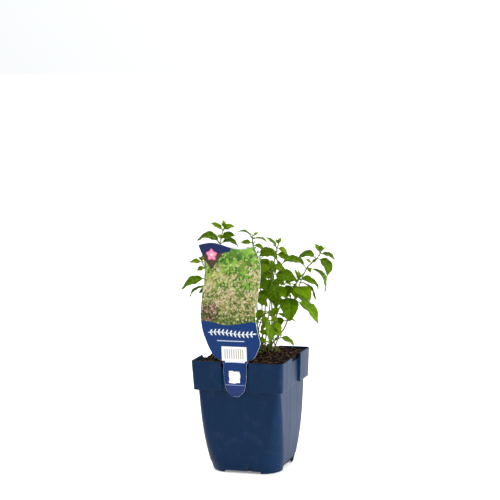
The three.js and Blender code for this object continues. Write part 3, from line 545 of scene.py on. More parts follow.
def crumb_points():
    """Each crumb is an icosahedron with every corner moved in or out at random, squashed,
    turned about its upright axis and sunk a third into the soil."""
    golden = (1 + 5 ** 0.5) / 2
    corners = np.array([(-1, golden, 0), (1, golden, 0), (-1, -golden, 0), (1, -golden, 0),
                        (0, -1, golden), (0, 1, golden), (0, -1, -golden), (0, 1, -golden),
                        (golden, 0, -1), (golden, 0, 1), (-golden, 0, -1), (-golden, 0, 1)])
    corners /= np.linalg.norm(corners[0])
    places, draw = scatter(CRUMBS, 11)
    count = len(places)
    size = CRUMB_RADIUS + CRUMB_RADIUS_SPREAD * draw.random(count) ** 3
    shape = corners * draw.uniform(0.65, 1.25, (count, len(corners), 1)) * size[:, None, None]
    shape *= np.stack([draw.uniform(0.8, 1.7, count), np.ones(count),
                       draw.uniform(0.5, 0.9, count)], -1)[:, None]
    turn = draw.uniform(0, 2 * np.pi, count)[:, None]
    x, y = turned(shape[..., 0], shape[..., 1], turn)
    ground = crumbly_height(places[:, 0], places[:, 1]) + 0.3 * size
    return np.stack([x + places[:, :1], y + places[:, 1:], shape[..., 2] + ground[:, None]], -1)


ICOSAHEDRON = np.array([
    (0, 11, 5), (0, 5, 1), (0, 1, 7), (0, 7, 10), (0, 10, 11), (1, 5, 9), (5, 11, 4),
    (11, 10, 2), (10, 7, 6), (7, 1, 8), (3, 9, 4), (3, 4, 2), (3, 2, 6), (3, 6, 8),
    (3, 8, 9), (4, 9, 5), (2, 4, 11), (6, 2, 10), (8, 6, 7), (9, 8, 1)])


def repeated(faces, size, count, start=0):
    """Faces of `count` like shapes of `size` points, stored one after another, from the
    arrays of faces of one: each array again with the number of each shape's first point."""
    firsts = start + size * np.arange(count)[:, None, None]
    return [(group + firsts).reshape(-1, group.shape[1]) for group in faces]


def bark_crumb(tree):
    """Crumbs of peat and composted bark: each has its own brown, a few are pale wood."""
    place = add_node(tree, "ShaderNodeTexCoord").outputs["Object"]
    patches = add_node(tree, "ShaderNodeTexVoronoi", {"Vector": place, "Scale": 1 / (3 * MM)})
    each = add_node(tree, "ShaderNodeSeparateColor", {"Color": patches.outputs["Color"]})
    tones = add_node(tree, "ShaderNodeValToRGB", {"Fac": each.outputs["Red"]})
    tones.color_ramp.elements[0].color = linear("#0f0a06")
    tones.color_ramp.elements[1].color = linear("#5e4430")
    middle = tones.color_ramp.elements.new(0.8)
    middle.color = linear("#281a11")
    grain = add_node(tree, "ShaderNodeTexNoise", {
        "Vector": place, "Scale": 1 / (0.7 * MM), "Detail": 3.0})
    bump = add_node(tree, "ShaderNodeBump", {
        "Height": grain.outputs["Fac"], "Strength": 0.6, "Distance": 0.3 * MM})
    return {"Base Color": tones.outputs["Color"], "Roughness": 0.88,
            "Specular IOR Level": 0.12, "Normal": bump.outputs["Normal"]}


composted_bark = finish_material("composted_bark_crumbs", bark_crumb)
crumb_shapes = crumb_points()
crumb_faces = repeated([ICOSAHEDRON], crumb_shapes.shape[1], len(crumb_shapes))
crumbs = add_piece("soil_crumbs", crumb_shapes, crumb_faces, composted_bark, sharp=50)
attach(crumbs, "root")


def unit(vectors):
    """Vectors of the same directions with a length of 1."""
    return vectors / np.linalg.norm(vectors, axis=-1, keepdims=True)


def rings_round(centre, radius, side, top, count):
    """Rings of `count` points: a point is its centre plus the radius times the cosine of
    its angle along `side` and the sine of it along `top`."""
    angle = (np.arange(count) * 2 * np.pi / count)[:, None]
    way = side[..., None, :] * np.cos(angle) + top[..., None, :] * np.sin(angle)
    return centre[..., None, :] + radius * way


def fibre_points():
    """Each fibre is a three-sided tube round an arc in a random upright plane: it leaves
    the soil, arches over and dips back in, and narrows to both ends."""
    places, draw = scatter(FIBRES, 23)
    near = np.exp(-((places - CROWN) ** 2).sum(1) / (2 * FIBRE_SPREAD ** 2)) + FIBRE_LEAST_SHARE
    places = places[draw.random(len(places)) < near]
    count = len(places)
    along = np.linspace(-1, 1, FIBRE_STATIONS)[None, :]
    length = draw.uniform(*FIBRE_LENGTHS, (count, 1))
    turn = draw.uniform(0, 2 * np.pi, (count, 1)) + draw.uniform(-0.7, 0.7, (count, 1)) * along
    rise = draw.uniform(*FIBRE_RISES, (count, 1)) * (1 - along ** 2) - FIBRE_SINK
    x = places[:, :1] + length * along * np.cos(turn) / 2
    y = places[:, 1:] + length * along * np.sin(turn) / 2
    limit = RIM_HALF - FIBRE_MARGIN
    x, y = np.clip(x, -limit, limit), np.clip(y, FIBRE_MARGIN_FRONT - RIM_HALF, limit)
    centre = np.stack([x, y, crumbly_height(x, y) + rise], -1)
    radius = draw.uniform(*FIBRE_RADII, (count, 1)) * (1.05 - along ** 2)
    tangent = unit(np.gradient(centre, axis=1))
    side = unit(np.cross(tangent, (0, 0, 1.0)))
    return rings_round(centre, radius[..., None, None], side, np.cross(side, tangent), 3)


def coir(tree):
    """Coir and root fibres: dull reddish brown to straw."""
    place = add_node(tree, "ShaderNodeTexCoord").outputs["Object"]
    patches = add_node(tree, "ShaderNodeTexNoise", {
        "Vector": place, "Scale": 1 / (8 * MM), "Detail": 2.0})
    colour = add_node(tree, "ShaderNodeMix", {
        0: patches.outputs["Fac"], 6: linear("#3d2014"), 7: linear("#7d5238")},
        data_type="RGBA")
    return {"Base Color": colour.outputs[2], "Roughness": 0.8, "Specular IOR Level": 0.3}


fibre_shapes = fibre_points()
fibre_faces = repeated(tube_quads(FIBRE_STATIONS, 3), FIBRE_STATIONS * 3, len(fibre_shapes))
fibres = add_piece("soil_fibres", fibre_shapes, fibre_faces,
                   finish_material("coir_fibres", coir), sharp=70)
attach(fibres, "root")

# The label is a punched sheet of white plastic, printed on its front: a picture of the
# flowering plant, a blue field with a sprig in white, and plain bars. Its tongue hangs
# outside in the pot's recess, and its tail goes down between wall and soil.
LABEL_PLANE = 51.9
LABEL_BOW = 2.4
BOW_FROM, BOW_FULL = 128, 185            # heights
LABEL_TOP_WAVE = 3.4
WAVE_FROM, WAVE_FULL = 190, 265
SHEET_THICKNESS = 0.6
PRINT_PROUD = 0.04
CUT_EDGE = 0.12                 # white edge left round the print
TAIL_HALF_WIDTH = 12.0
TAIL_BOTTOM = 105.0
TAIL_PATH = (                   # how far behind the label's plane, and height
    (-0.2, 134.0), (0.0, 130.5), (1.0, 129.3), (2.1, 127.5), (2.6, 125.5), (2.6, TAIL_BOTTOM))
LABEL_OUTLINE = np.array([      # height, left edge, right edge
    (92, -5, 1), (98, -12, 7.5), (108, -15, 10.5), (121, -16, 11.5),
    (132.5, -17, 13), (137, -25.5, 20.5), (145, -31.5, 25), (155, -36, 28.5),
    (169, -40.5, 25.5), (186, -42, 23.5), (205, -40, 26.5), (231, -36, 30.5),
    (248, -36.5, 30), (265, -42.5, 24)], float)


def curve_at(points, at):
    """Points on a smooth line through a list of points, with `at` from 0 to 1 over it. Each
    stretch is a cubic whose end slopes are half the way between its neighbours."""
    ghosts = np.concatenate([[2 * points[0] - points[1]], points, [2 * points[-1] - points[-2]]])
    place = np.clip(at, 0, 1) * (len(points) - 1)
    start = np.minimum(np.floor(place).astype(int), len(points) - 2)
    t = (place - start)[..., None]
    p0, p1, p2, p3 = (ghosts[start + i] for i in range(4))
    return p1 + 0.5 * t * (p2 - p0 + t * (2 * p0 - 5 * p1 + 4 * p2 - p3
                                          + t * (3 * (p1 - p2) + p3 - p0)))


def label_sheet(rows, columns, inset=0.0):
    """The middle of the label's sheet as a grid: the outline gives height, left and right.
    The sheet bulges forwards as a parabola across, more towards its top, and its top waves
    as a sine. The grid may end `inset` from all edges."""
    first, last = np.diff(LABEL_OUTLINE[:, 0])[[0, -1]] * (len(LABEL_OUTLINE) - 1)
    at = np.linspace(inset / first, 1 - inset / last, rows)
    height, left, right = curve_at(LABEL_OUTLINE, at).T[:, :, None]
    margin = inset / (right - left)
    column = margin + (1 - 2 * margin) * np.linspace(0, 1, columns)
    x = left + (right - left) * column
    bow = LABEL_BOW * smoothstep(height, BOW_FROM, BOW_FULL) * 4 * column * (1 - column)
    wave = LABEL_TOP_WAVE * smoothstep(height, WAVE_FROM, WAVE_FULL) * np.sin(2 * np.pi * column)
    return np.stack([x, -LABEL_PLANE - bow, height + wave], -1)


def label_tail():
    """The tail as a tube of four-point rings: a strip that leaves the sheet at its neck,
    bends in over the dipped rim and goes straight down inside the wall."""
    x = RECESS_CENTRES[0] + TAIL_HALF_WIDTH * np.array([-1, 1, 1, -1])
    side = np.array([-1, -1, 1, 1]) * SHEET_THICKNESS / 2
    return np.array([np.column_stack([x, y - LABEL_PLANE + side, np.full(4, z)])
                     for y, z in TAIL_PATH[::-1]])


def white_sheet(tree):
    """White polystyrene label sheet: smooth and slightly translucent, a little satin."""
    place = add_node(tree, "ShaderNodeTexCoord").outputs["Object"]
    mottle = add_node(tree, "ShaderNodeTexNoise", {
        "Vector": place, "Scale": 1 / (12 * MM), "Detail": 3.0})
    colour = add_node(tree, "ShaderNodeMix", {
        0: mottle.outputs["Fac"], 6: linear("#c4ccd5"), 7: linear("#d9dee3")},
        data_type="RGBA")
    return {"Base Color": colour.outputs[2], "Roughness": 0.42, "IOR": 1.55,
            "Specular IOR Level": 0.4}


white_polystyrene = finish_material("white_polystyrene_sheet", white_sheet)
SHEET_ROWS, SHEET_COLUMNS = 150, 40
sheet = label_sheet(SHEET_ROWS, SHEET_COLUMNS)
half_sheet = np.array([0, SHEET_THICKNESS / 2, 0])
sheet_rings = np.concatenate([sheet - half_sheet, (sheet + half_sheet)[:, ::-1]], 1)
tail_rings = label_tail()
label_points = np.concatenate([sheet_rings.reshape(-1, 3), tail_rings.reshape(-1, 3)])
label_faces = (tube_quads(*sheet_rings.shape[:2])
               + tube_quads(*tail_rings.shape[:2], SHEET_ROWS * SHEET_COLUMNS * 2))
label = add_piece("plant_label_sheet", label_points, label_faces, white_polystyrene)
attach(label, "root")
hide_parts("plant_label")

# The print is a film on the front. It is drawn as numbers on a fine grid of the sheet, then
# read off at each point of the film: a meadow of leaves and cream and pink florets, a
# navy corner with a pink blossom, and a blue field with a white sprig and plain bars.
CELL = 0.25
CANVAS_LOW = np.array([-46.0, 88.0])
CANVAS_SIZE = (400, 740)
PRINT_ROWS, PRINT_COLUMNS = 430, 165
PRINT_STRENGTH = (0.78, 0.72, 0.66)     # of the red, green and blue of the meadow
MEADOW_LEFT, MEADOW_RIGHT = -45, 34
MEADOW_FOOT = 170
TOP_LEAVES, TOP_LEAVES_FROM, TOP_LEAVES_TO = 230, 216, 270
LOW_LEAF_DABS, LOW_LEAF_PEAK, LOW_LEAF_TOP = 1700, 184, 256
FLORETS, FLORET_PEAK, FLORET_TOP, FLORET_RIGHT = 2700, 214, 262, 30
SPARSE_FLORETS_FROM = 240
GREEN_GROUND = (                # size of the patches, seed, dark and light green
    (16, 31, "#2c5220", "#86b040"), (6, 32, "#35551f", "#93a04a"))
SOFT_PATCHES = (                # x, height, reach, colour
    (-26, 228, 8, "#a3c944"), (20, 224, 7, "#6f9f38"), (-13, 187, 7, "#5f9a45"),
    (-33, 186, 12, "#54403a"), (1, 199, 5, "#1f4a2c"), (14, 262, 9, "#8cc455"))
TOP_GREENS = ["#3f8427", "#79bf41", "#1f561c", "#98cb57"]
LOW_GREENS = ["#2f4a1e", "#5f8a34", "#8aa64c", "#25381a", "#7a8f3c"]
CORNER_BROWNS = ["#4a332c", "#2b1f1a", "#6b7a3a"]
FLORET_CREAMS = ["#e3d8b0", "#cdbf88", "#f0e9cf", "#b8a877"]
FLORET_PINKS = ["#c9a79b", "#a67f77", "#dcc6b8"]
BLOSSOM_X, BLOSSOM_Z = -26.4, 254.5
PETALS, PETAL_OUT, PETAL_LENGTH, PETAL_HALF_WIDTH = 5, 3.4, 3.9, 2.7
FIELD_TOP, FIELD_WAVE, FIELD_WAVE_LENGTH = 176.8, 1.9, 62
TONGUE_LINE, TONGUE_LINE_HALF_WIDTH = 105.5, 0.3
SPRIG_LEFT, SPRIG_RIGHT, SPRIG_HEIGHT, SPRIG_SWAY = -33, 21, 165.4, 1.1
SPRIG_PAIRS, SPRIG_FIRST, SPRIG_SPACING = 11, -30.5, 4.8
SPRIG_LEAF_OUT, SPRIG_LEAF_LENGTH, SPRIG_LEAF_HALF_WIDTH, SPRIG_LEAF_ANGLE = 2.1, 2.5, 0.75, 1.0
SPRIG_TIP = (22.2, 165.3)
FINE_LINE = (-22.5, 10.0, 156.0, 156.9)  # left, right, foot, top
BAR_PANEL = (-17.6, 12.2, 133.4, 149.9)
BARS, BAR_LEFT, BAR_SPACING, BAR_WIDTH, BAR_FOOT, BAR_TOP = 9, -14.2, 2.65, 1.35, 135.9, 147.4
WHITE_INK = "#dfe6f2"

canvas_x, canvas_z = np.meshgrid(CANVAS_LOW[0] + CELL * np.arange(CANVAS_SIZE[0]),
                                 CANVAS_LOW[1] + CELL * np.arange(CANVAS_SIZE[1]))
canvas = np.zeros((*canvas_x.shape, 3))


def lay(shape, colour, strength=1.0, part=canvas):
    """Lays an ink over the canvas, or a part of it, where `shape` is 1 or more, and as much
    of it as `shape` says where that is between 0 and 1."""
    cover = (np.clip(shape, 0, 1) * strength)[..., None]
    part[:] = part * (1 - cover) + np.array(linear(colour)[:3]) * cover


def dab(x, z, reach_along, reach_across, turn, colour, strength=1.0):
    """A pointed oval of ink, as a petal or leaf, in reaches from its middle along and across
    its turned length: its half width falls as 1 - t² along it."""
    reach = max(reach_along, reach_across) + CELL
    low = ((np.array([x, z]) - reach - CANVAS_LOW) / CELL).astype(int)
    high = ((np.array([x, z]) + reach - CANVAS_LOW) / CELL).astype(int) + 2
    (c0, r0), (c1, r1) = np.clip(low, 0, None), np.clip(high, 0, CANVAS_SIZE)
    if c0 >= c1 or r0 >= r1:
        return
    dx, dz = canvas_x[r0:r1, c0:c1] - x, canvas_z[r0:r1, c0:c1] - z
    along, across = turned(dx, dz, -turn)
    half = reach_across * (1 - np.clip(np.abs(along) / reach_along, 0, 1) ** 2)
    shape = ((half - np.abs(across)) / CELL + 0.5).clip(0, 1) * (np.abs(along) < reach_along)
    lay(shape, colour, strength, canvas[r0:r1, c0:c1])


def edged(inside, colour):
    """Lays an ink up to a crisp edge, from how far inside it each point of the canvas is."""
    lay(inside / CELL + 0.5, colour)


def petal(x, z, out, reach_along, reach_across, turn, colour, strength=1.0):
    """A dab whose middle is `out` from a point, in the direction that it points to."""
    dab(x + out * np.cos(turn), z + out * np.sin(turn), reach_along, reach_across, turn,
        colour, strength)


def panel(x0, x1, z0, z1, colour):
    """An upright rectangle of ink."""
    edged(np.minimum(np.minimum(canvas_x - x0, x1 - canvas_x),
                     np.minimum(canvas_z - z0, z1 - canvas_z)), colour)


def sprig_height(x):
    """Height of the sprig's stem: one sine wave over its length."""
    share = (x - SPRIG_LEFT) / (SPRIG_RIGHT - SPRIG_LEFT)
    return SPRIG_HEIGHT + SPRIG_SWAY * np.sin(share * 2 * np.pi)


# The meadow's ground: soft greens with leaves at the top, and darker towards the foot
draw = np.random.default_rng(7)
lay(np.ones_like(canvas_x), "#557f2c")
for size, seed, dark, light in GREEN_GROUND:
    tone = smooth_noise(canvas_x, canvas_z, size, seed)
    lay(tone * 1.4, light, 0.7)
    lay(-tone * 1.4, dark, 0.7)
for _ in range(TOP_LEAVES):
    dab(draw.uniform(MEADOW_LEFT, MEADOW_RIGHT), draw.uniform(TOP_LEAVES_FROM, TOP_LEAVES_TO),
        draw.uniform(2.5, 7), draw.uniform(0.8, 2.0), draw.uniform(-0.4, 1.9),
        draw.choice(TOP_GREENS), 0.9)
for x, z, reach, colour in SOFT_PATCHES:
    lay(np.exp(-((canvas_x - x) ** 2 + (canvas_z - z) ** 2) / reach ** 2), colour, 0.75)
lay((206 - canvas_z) / 16, "#3a4722", 0.55)

# Its leaves and florets, browner and pinker in the lower left corner. The florets thicken
# towards the middle and stand in drifts, each of three petals round a dark eye.
for _ in range(LOW_LEAF_DABS):
    x = draw.uniform(MEADOW_LEFT, MEADOW_RIGHT)
    z = draw.triangular(MEADOW_FOOT, LOW_LEAF_PEAK, LOW_LEAF_TOP)
    dab(x, z, draw.uniform(1.0, 2.4), draw.uniform(0.35, 0.8), draw.uniform(0, np.pi),
        draw.choice(CORNER_BROWNS if x < -21 and z < 199 else LOW_GREENS), 0.8)
drift = smooth_noise(canvas_x, canvas_z, 9, 33)
for _ in range(FLORETS):
    x = draw.uniform(MEADOW_LEFT, FLORET_RIGHT)
    z = draw.triangular(MEADOW_FOOT, FLORET_PEAK, FLORET_TOP)
    column, row = ((np.array([x, z]) - CANVAS_LOW) / CELL).astype(int)
    if (drift[row, column] < draw.uniform(-0.9, 0.7)
            or z > SPARSE_FLORETS_FROM and draw.random() < 0.6):
        continue
    tint = draw.choice(FLORET_PINKS if x < -22 and z < 200 else FLORET_CREAMS)
    turn = draw.uniform(0, 2 * np.pi)
    size = draw.uniform(0.4, 0.85)
    for step in range(3):
        petal(x, z, size * 0.8, size, size * 0.55, turn + step * 2.1, tint, 0.9)
    dab(x, z, 0.35, 0.3, 0, "#6d5238", 0.7)
canvas *= PRINT_STRENGTH

# The navy corner over an arc, with a brown wedge under it, and the blossom on both
wedge = np.minimum(canvas_z - (237 + 1.35 * np.abs(canvas_x + 27)), 262 - canvas_z)
lay(wedge / 0.8, "#41302c", 0.95)
arc = canvas_z - (256.0 - 0.06 * np.abs(canvas_x + 26) ** 1.6 * (canvas_x < -26)
                  + 0.0042 * (canvas_x + 30) ** 2)
edged(np.minimum(arc, -1.5 - canvas_x - 0.25 * (268 - canvas_z)), "#14224f")
for step in range(PETALS):
    turn = np.pi / 2 + step * 2 * np.pi / PETALS
    for inset, tint in ((0.0, "#e2688f"), (0.7, "#f08fae")):
        petal(BLOSSOM_X, BLOSSOM_Z, PETAL_OUT - inset, PETAL_LENGTH - inset,
              PETAL_HALF_WIDTH - inset, turn, tint)
edged(1.5 - np.hypot(canvas_x - BLOSSOM_X, canvas_z - BLOSSOM_Z), "#f9d7df")

# The blue field under a wavy line, lighter on the tongue
wave = FIELD_TOP + FIELD_WAVE * np.cos(2 * np.pi * (canvas_x + 40) / FIELD_WAVE_LENGTH)
edged(wave - canvas_z, "#012c62")
edged(TONGUE_LINE - canvas_z, "#1c2e62")
edged(TONGUE_LINE_HALF_WIDTH - np.abs(canvas_z - TONGUE_LINE), "#8796bd")

# The white sprig: a stem with leaves in pairs and one at its tip, and a fine line under it
for x in np.arange(SPRIG_LEFT, SPRIG_RIGHT, CELL):
    dab(x, sprig_height(x), 0.5, 0.3, 0, WHITE_INK)
for x in SPRIG_FIRST + SPRIG_SPACING * np.arange(SPRIG_PAIRS):
    for turn in (SPRIG_LEAF_ANGLE, -SPRIG_LEAF_ANGLE):
        petal(x, sprig_height(x), SPRIG_LEAF_OUT, SPRIG_LEAF_LENGTH, SPRIG_LEAF_HALF_WIDTH,
              turn, WHITE_INK)
dab(*SPRIG_TIP, 2.4, SPRIG_LEAF_HALF_WIDTH, 0.1, WHITE_INK)
panel(*FINE_LINE, "#c3cde0")

# The plain bars, about as wide as their gaps, on a white panel
panel(*BAR_PANEL, "#e9ebee")
for x in BAR_LEFT + BAR_SPACING * np.arange(BARS):
    panel(x, x + BAR_WIDTH, BAR_FOOT, BAR_TOP, "#a59d87")


def printed_ink(tree):
    """Offset print under a clear varnish: the colours of the film, smooth and glossy, with
    a very fine screen grain."""
    ink = add_node(tree, "ShaderNodeAttribute", attribute_name="ink")
    place = add_node(tree, "ShaderNodeTexCoord").outputs["Object"]
    screen = add_node(tree, "ShaderNodeTexNoise", {
        "Vector": place, "Scale": 1 / (0.5 * MM), "Detail": 1.0})
    strength = add_node(tree, "ShaderNodeMapRange", {
        "Value": screen.outputs["Fac"], "From Min": 0.3, "From Max": 0.7,
        "To Min": 0.93, "To Max": 1.07})
    colour = add_node(tree, "ShaderNodeHueSaturation", {
        "Color": ink.outputs["Color"], "Value": strength.outputs["Result"]})
    return {"Base Color": colour.outputs["Color"], "Roughness": 0.36, "IOR": 1.5,
            "Specular IOR Level": 0.15}


def add_colours(piece, name, colours):
    """Stores a linear colour for each point of a piece's mesh, for its material to read."""
    layer = piece.data.color_attributes.new(name, "FLOAT_COLOR", "POINT")
    opaque = np.column_stack([colours, np.ones(len(colours))])
    layer.data.foreach_set("color", opaque.astype(np.float32).ravel())


film = label_sheet(PRINT_ROWS, PRINT_COLUMNS, CUT_EDGE)
film[..., 1] -= SHEET_THICKNESS / 2 + PRINT_PROUD
flat_film = film.reshape(-1, 3)
print_film = add_piece("label_print_film", flat_film,
                       [grid_quads(PRINT_ROWS, PRINT_COLUMNS)],
                       finish_material("varnished_offset_print", printed_ink))
# Each point's ink is blended from the four cells of the canvas round it
cells_across, cells_up = ((flat_film[:, [0, 2]] - CANVAS_LOW) / CELL).T
left, below = np.floor(cells_across).astype(int), np.floor(cells_up).astype(int)
across, up = (cells_across - left)[:, None], (cells_up - below)[:, None]
ink = ((canvas[below, left] * (1 - across) + canvas[below, left + 1] * across) * (1 - up)
       + (canvas[below + 1, left] * (1 - across) + canvas[below + 1, left + 1] * across) * up)
add_colours(print_film, "ink", ink)
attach(print_film, "root")

# A blank sticker of white uncoated paper is stuck on the tongue, flat on the print. Its
# edges are torn.
STICKER_MIDDLE = np.array([-3.1, 114.6])
STICKER_HALF = np.array([6.6, 6.9])
STICKER_THICKNESS = 0.12
STICKER_POINTS = 96


def sticker_rings():
    """A square of paper as rings from its middle to its edge, front then back. Its edge
    swings in and out by a sum of sines, as torn paper does."""
    turn = np.linspace(0, 2 * np.pi, STICKER_POINTS, endpoint=False)
    square = np.column_stack([np.cos(turn), np.sin(turn)])
    square /= np.abs(square).max(1, keepdims=True) ** 0.92
    ragged = 1 + 0.05 * np.sin(3 * turn + 1) + 0.035 * np.sin(7 * turn) + 0.02 * np.sin(17 * turn)
    outline = square * ragged[:, None] * STICKER_HALF
    film_front = -LABEL_PLANE - SHEET_THICKNESS / 2 - PRINT_PROUD
    front, back = film_front - STICKER_THICKNESS, film_front + 0.02
    rings = []
    for share, y in ((0.05, front), (0.97, front), (1.0, film_front - STICKER_THICKNESS / 2),
                     (1.0, back), (0.05, back)):
        flat = STICKER_MIDDLE + outline * share
        rings.append(np.column_stack([flat[:, 0], np.full(len(flat), y), flat[:, 1]]))
    return np.array(rings)[::-1]


def sticker_paper(tree):
    """Uncoated white paper: matt, with faint grey stains and fibres."""
    place = add_node(tree, "ShaderNodeTexCoord").outputs["Object"]
    stains = add_node(tree, "ShaderNodeTexNoise", {
        "Vector": place, "Scale": 1 / (3.5 * MM), "Detail": 4.0})
    colour = add_node(tree, "ShaderNodeValToRGB", {"Fac": stains.outputs["Fac"]})
    colour.color_ramp.elements[0].position = 0.3
    colour.color_ramp.elements[0].color = linear("#b9b5aa")
    colour.color_ramp.elements[1].position = 0.52
    colour.color_ramp.elements[1].color = linear("#f1efe9")
    return {"Base Color": colour.outputs["Color"], "Roughness": 0.8, "Specular IOR Level": 0.2}


paper = sticker_rings()
sticker = add_piece("label_sticker", paper, tube_quads(*paper.shape[:2]),
                    finish_material("uncoated_sticker_paper", sticker_paper))
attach(sticker, "root")

# The plant is a clump of young shoots from one crown. Their stems are square, as in all the
# mint family, and carry egg-shaped toothed leaves on short stalks. Stem and leaves are soft
# and downy, and grew as one.


def leaf(at, turn, length, lift, droop, roll=0):
    """A leaf: where it joins its stem as a share of the route, the direction it points to
    in degrees (0 right, 90 away, 180 left, 270 to the viewer), its length, how steeply it
    rises, how far it arches over, and how far its face is turned to the viewer."""
    return at, turn, length, lift, droop, roll


def pair(at, turn, length, lift, droop, roll=0):
    """Two leaves that face each other across the stem, the second a little shorter."""
    return leaf(at, turn, length, lift, droop, roll), leaf(
        at, turn + 180, length * 0.92, lift, droop, roll)


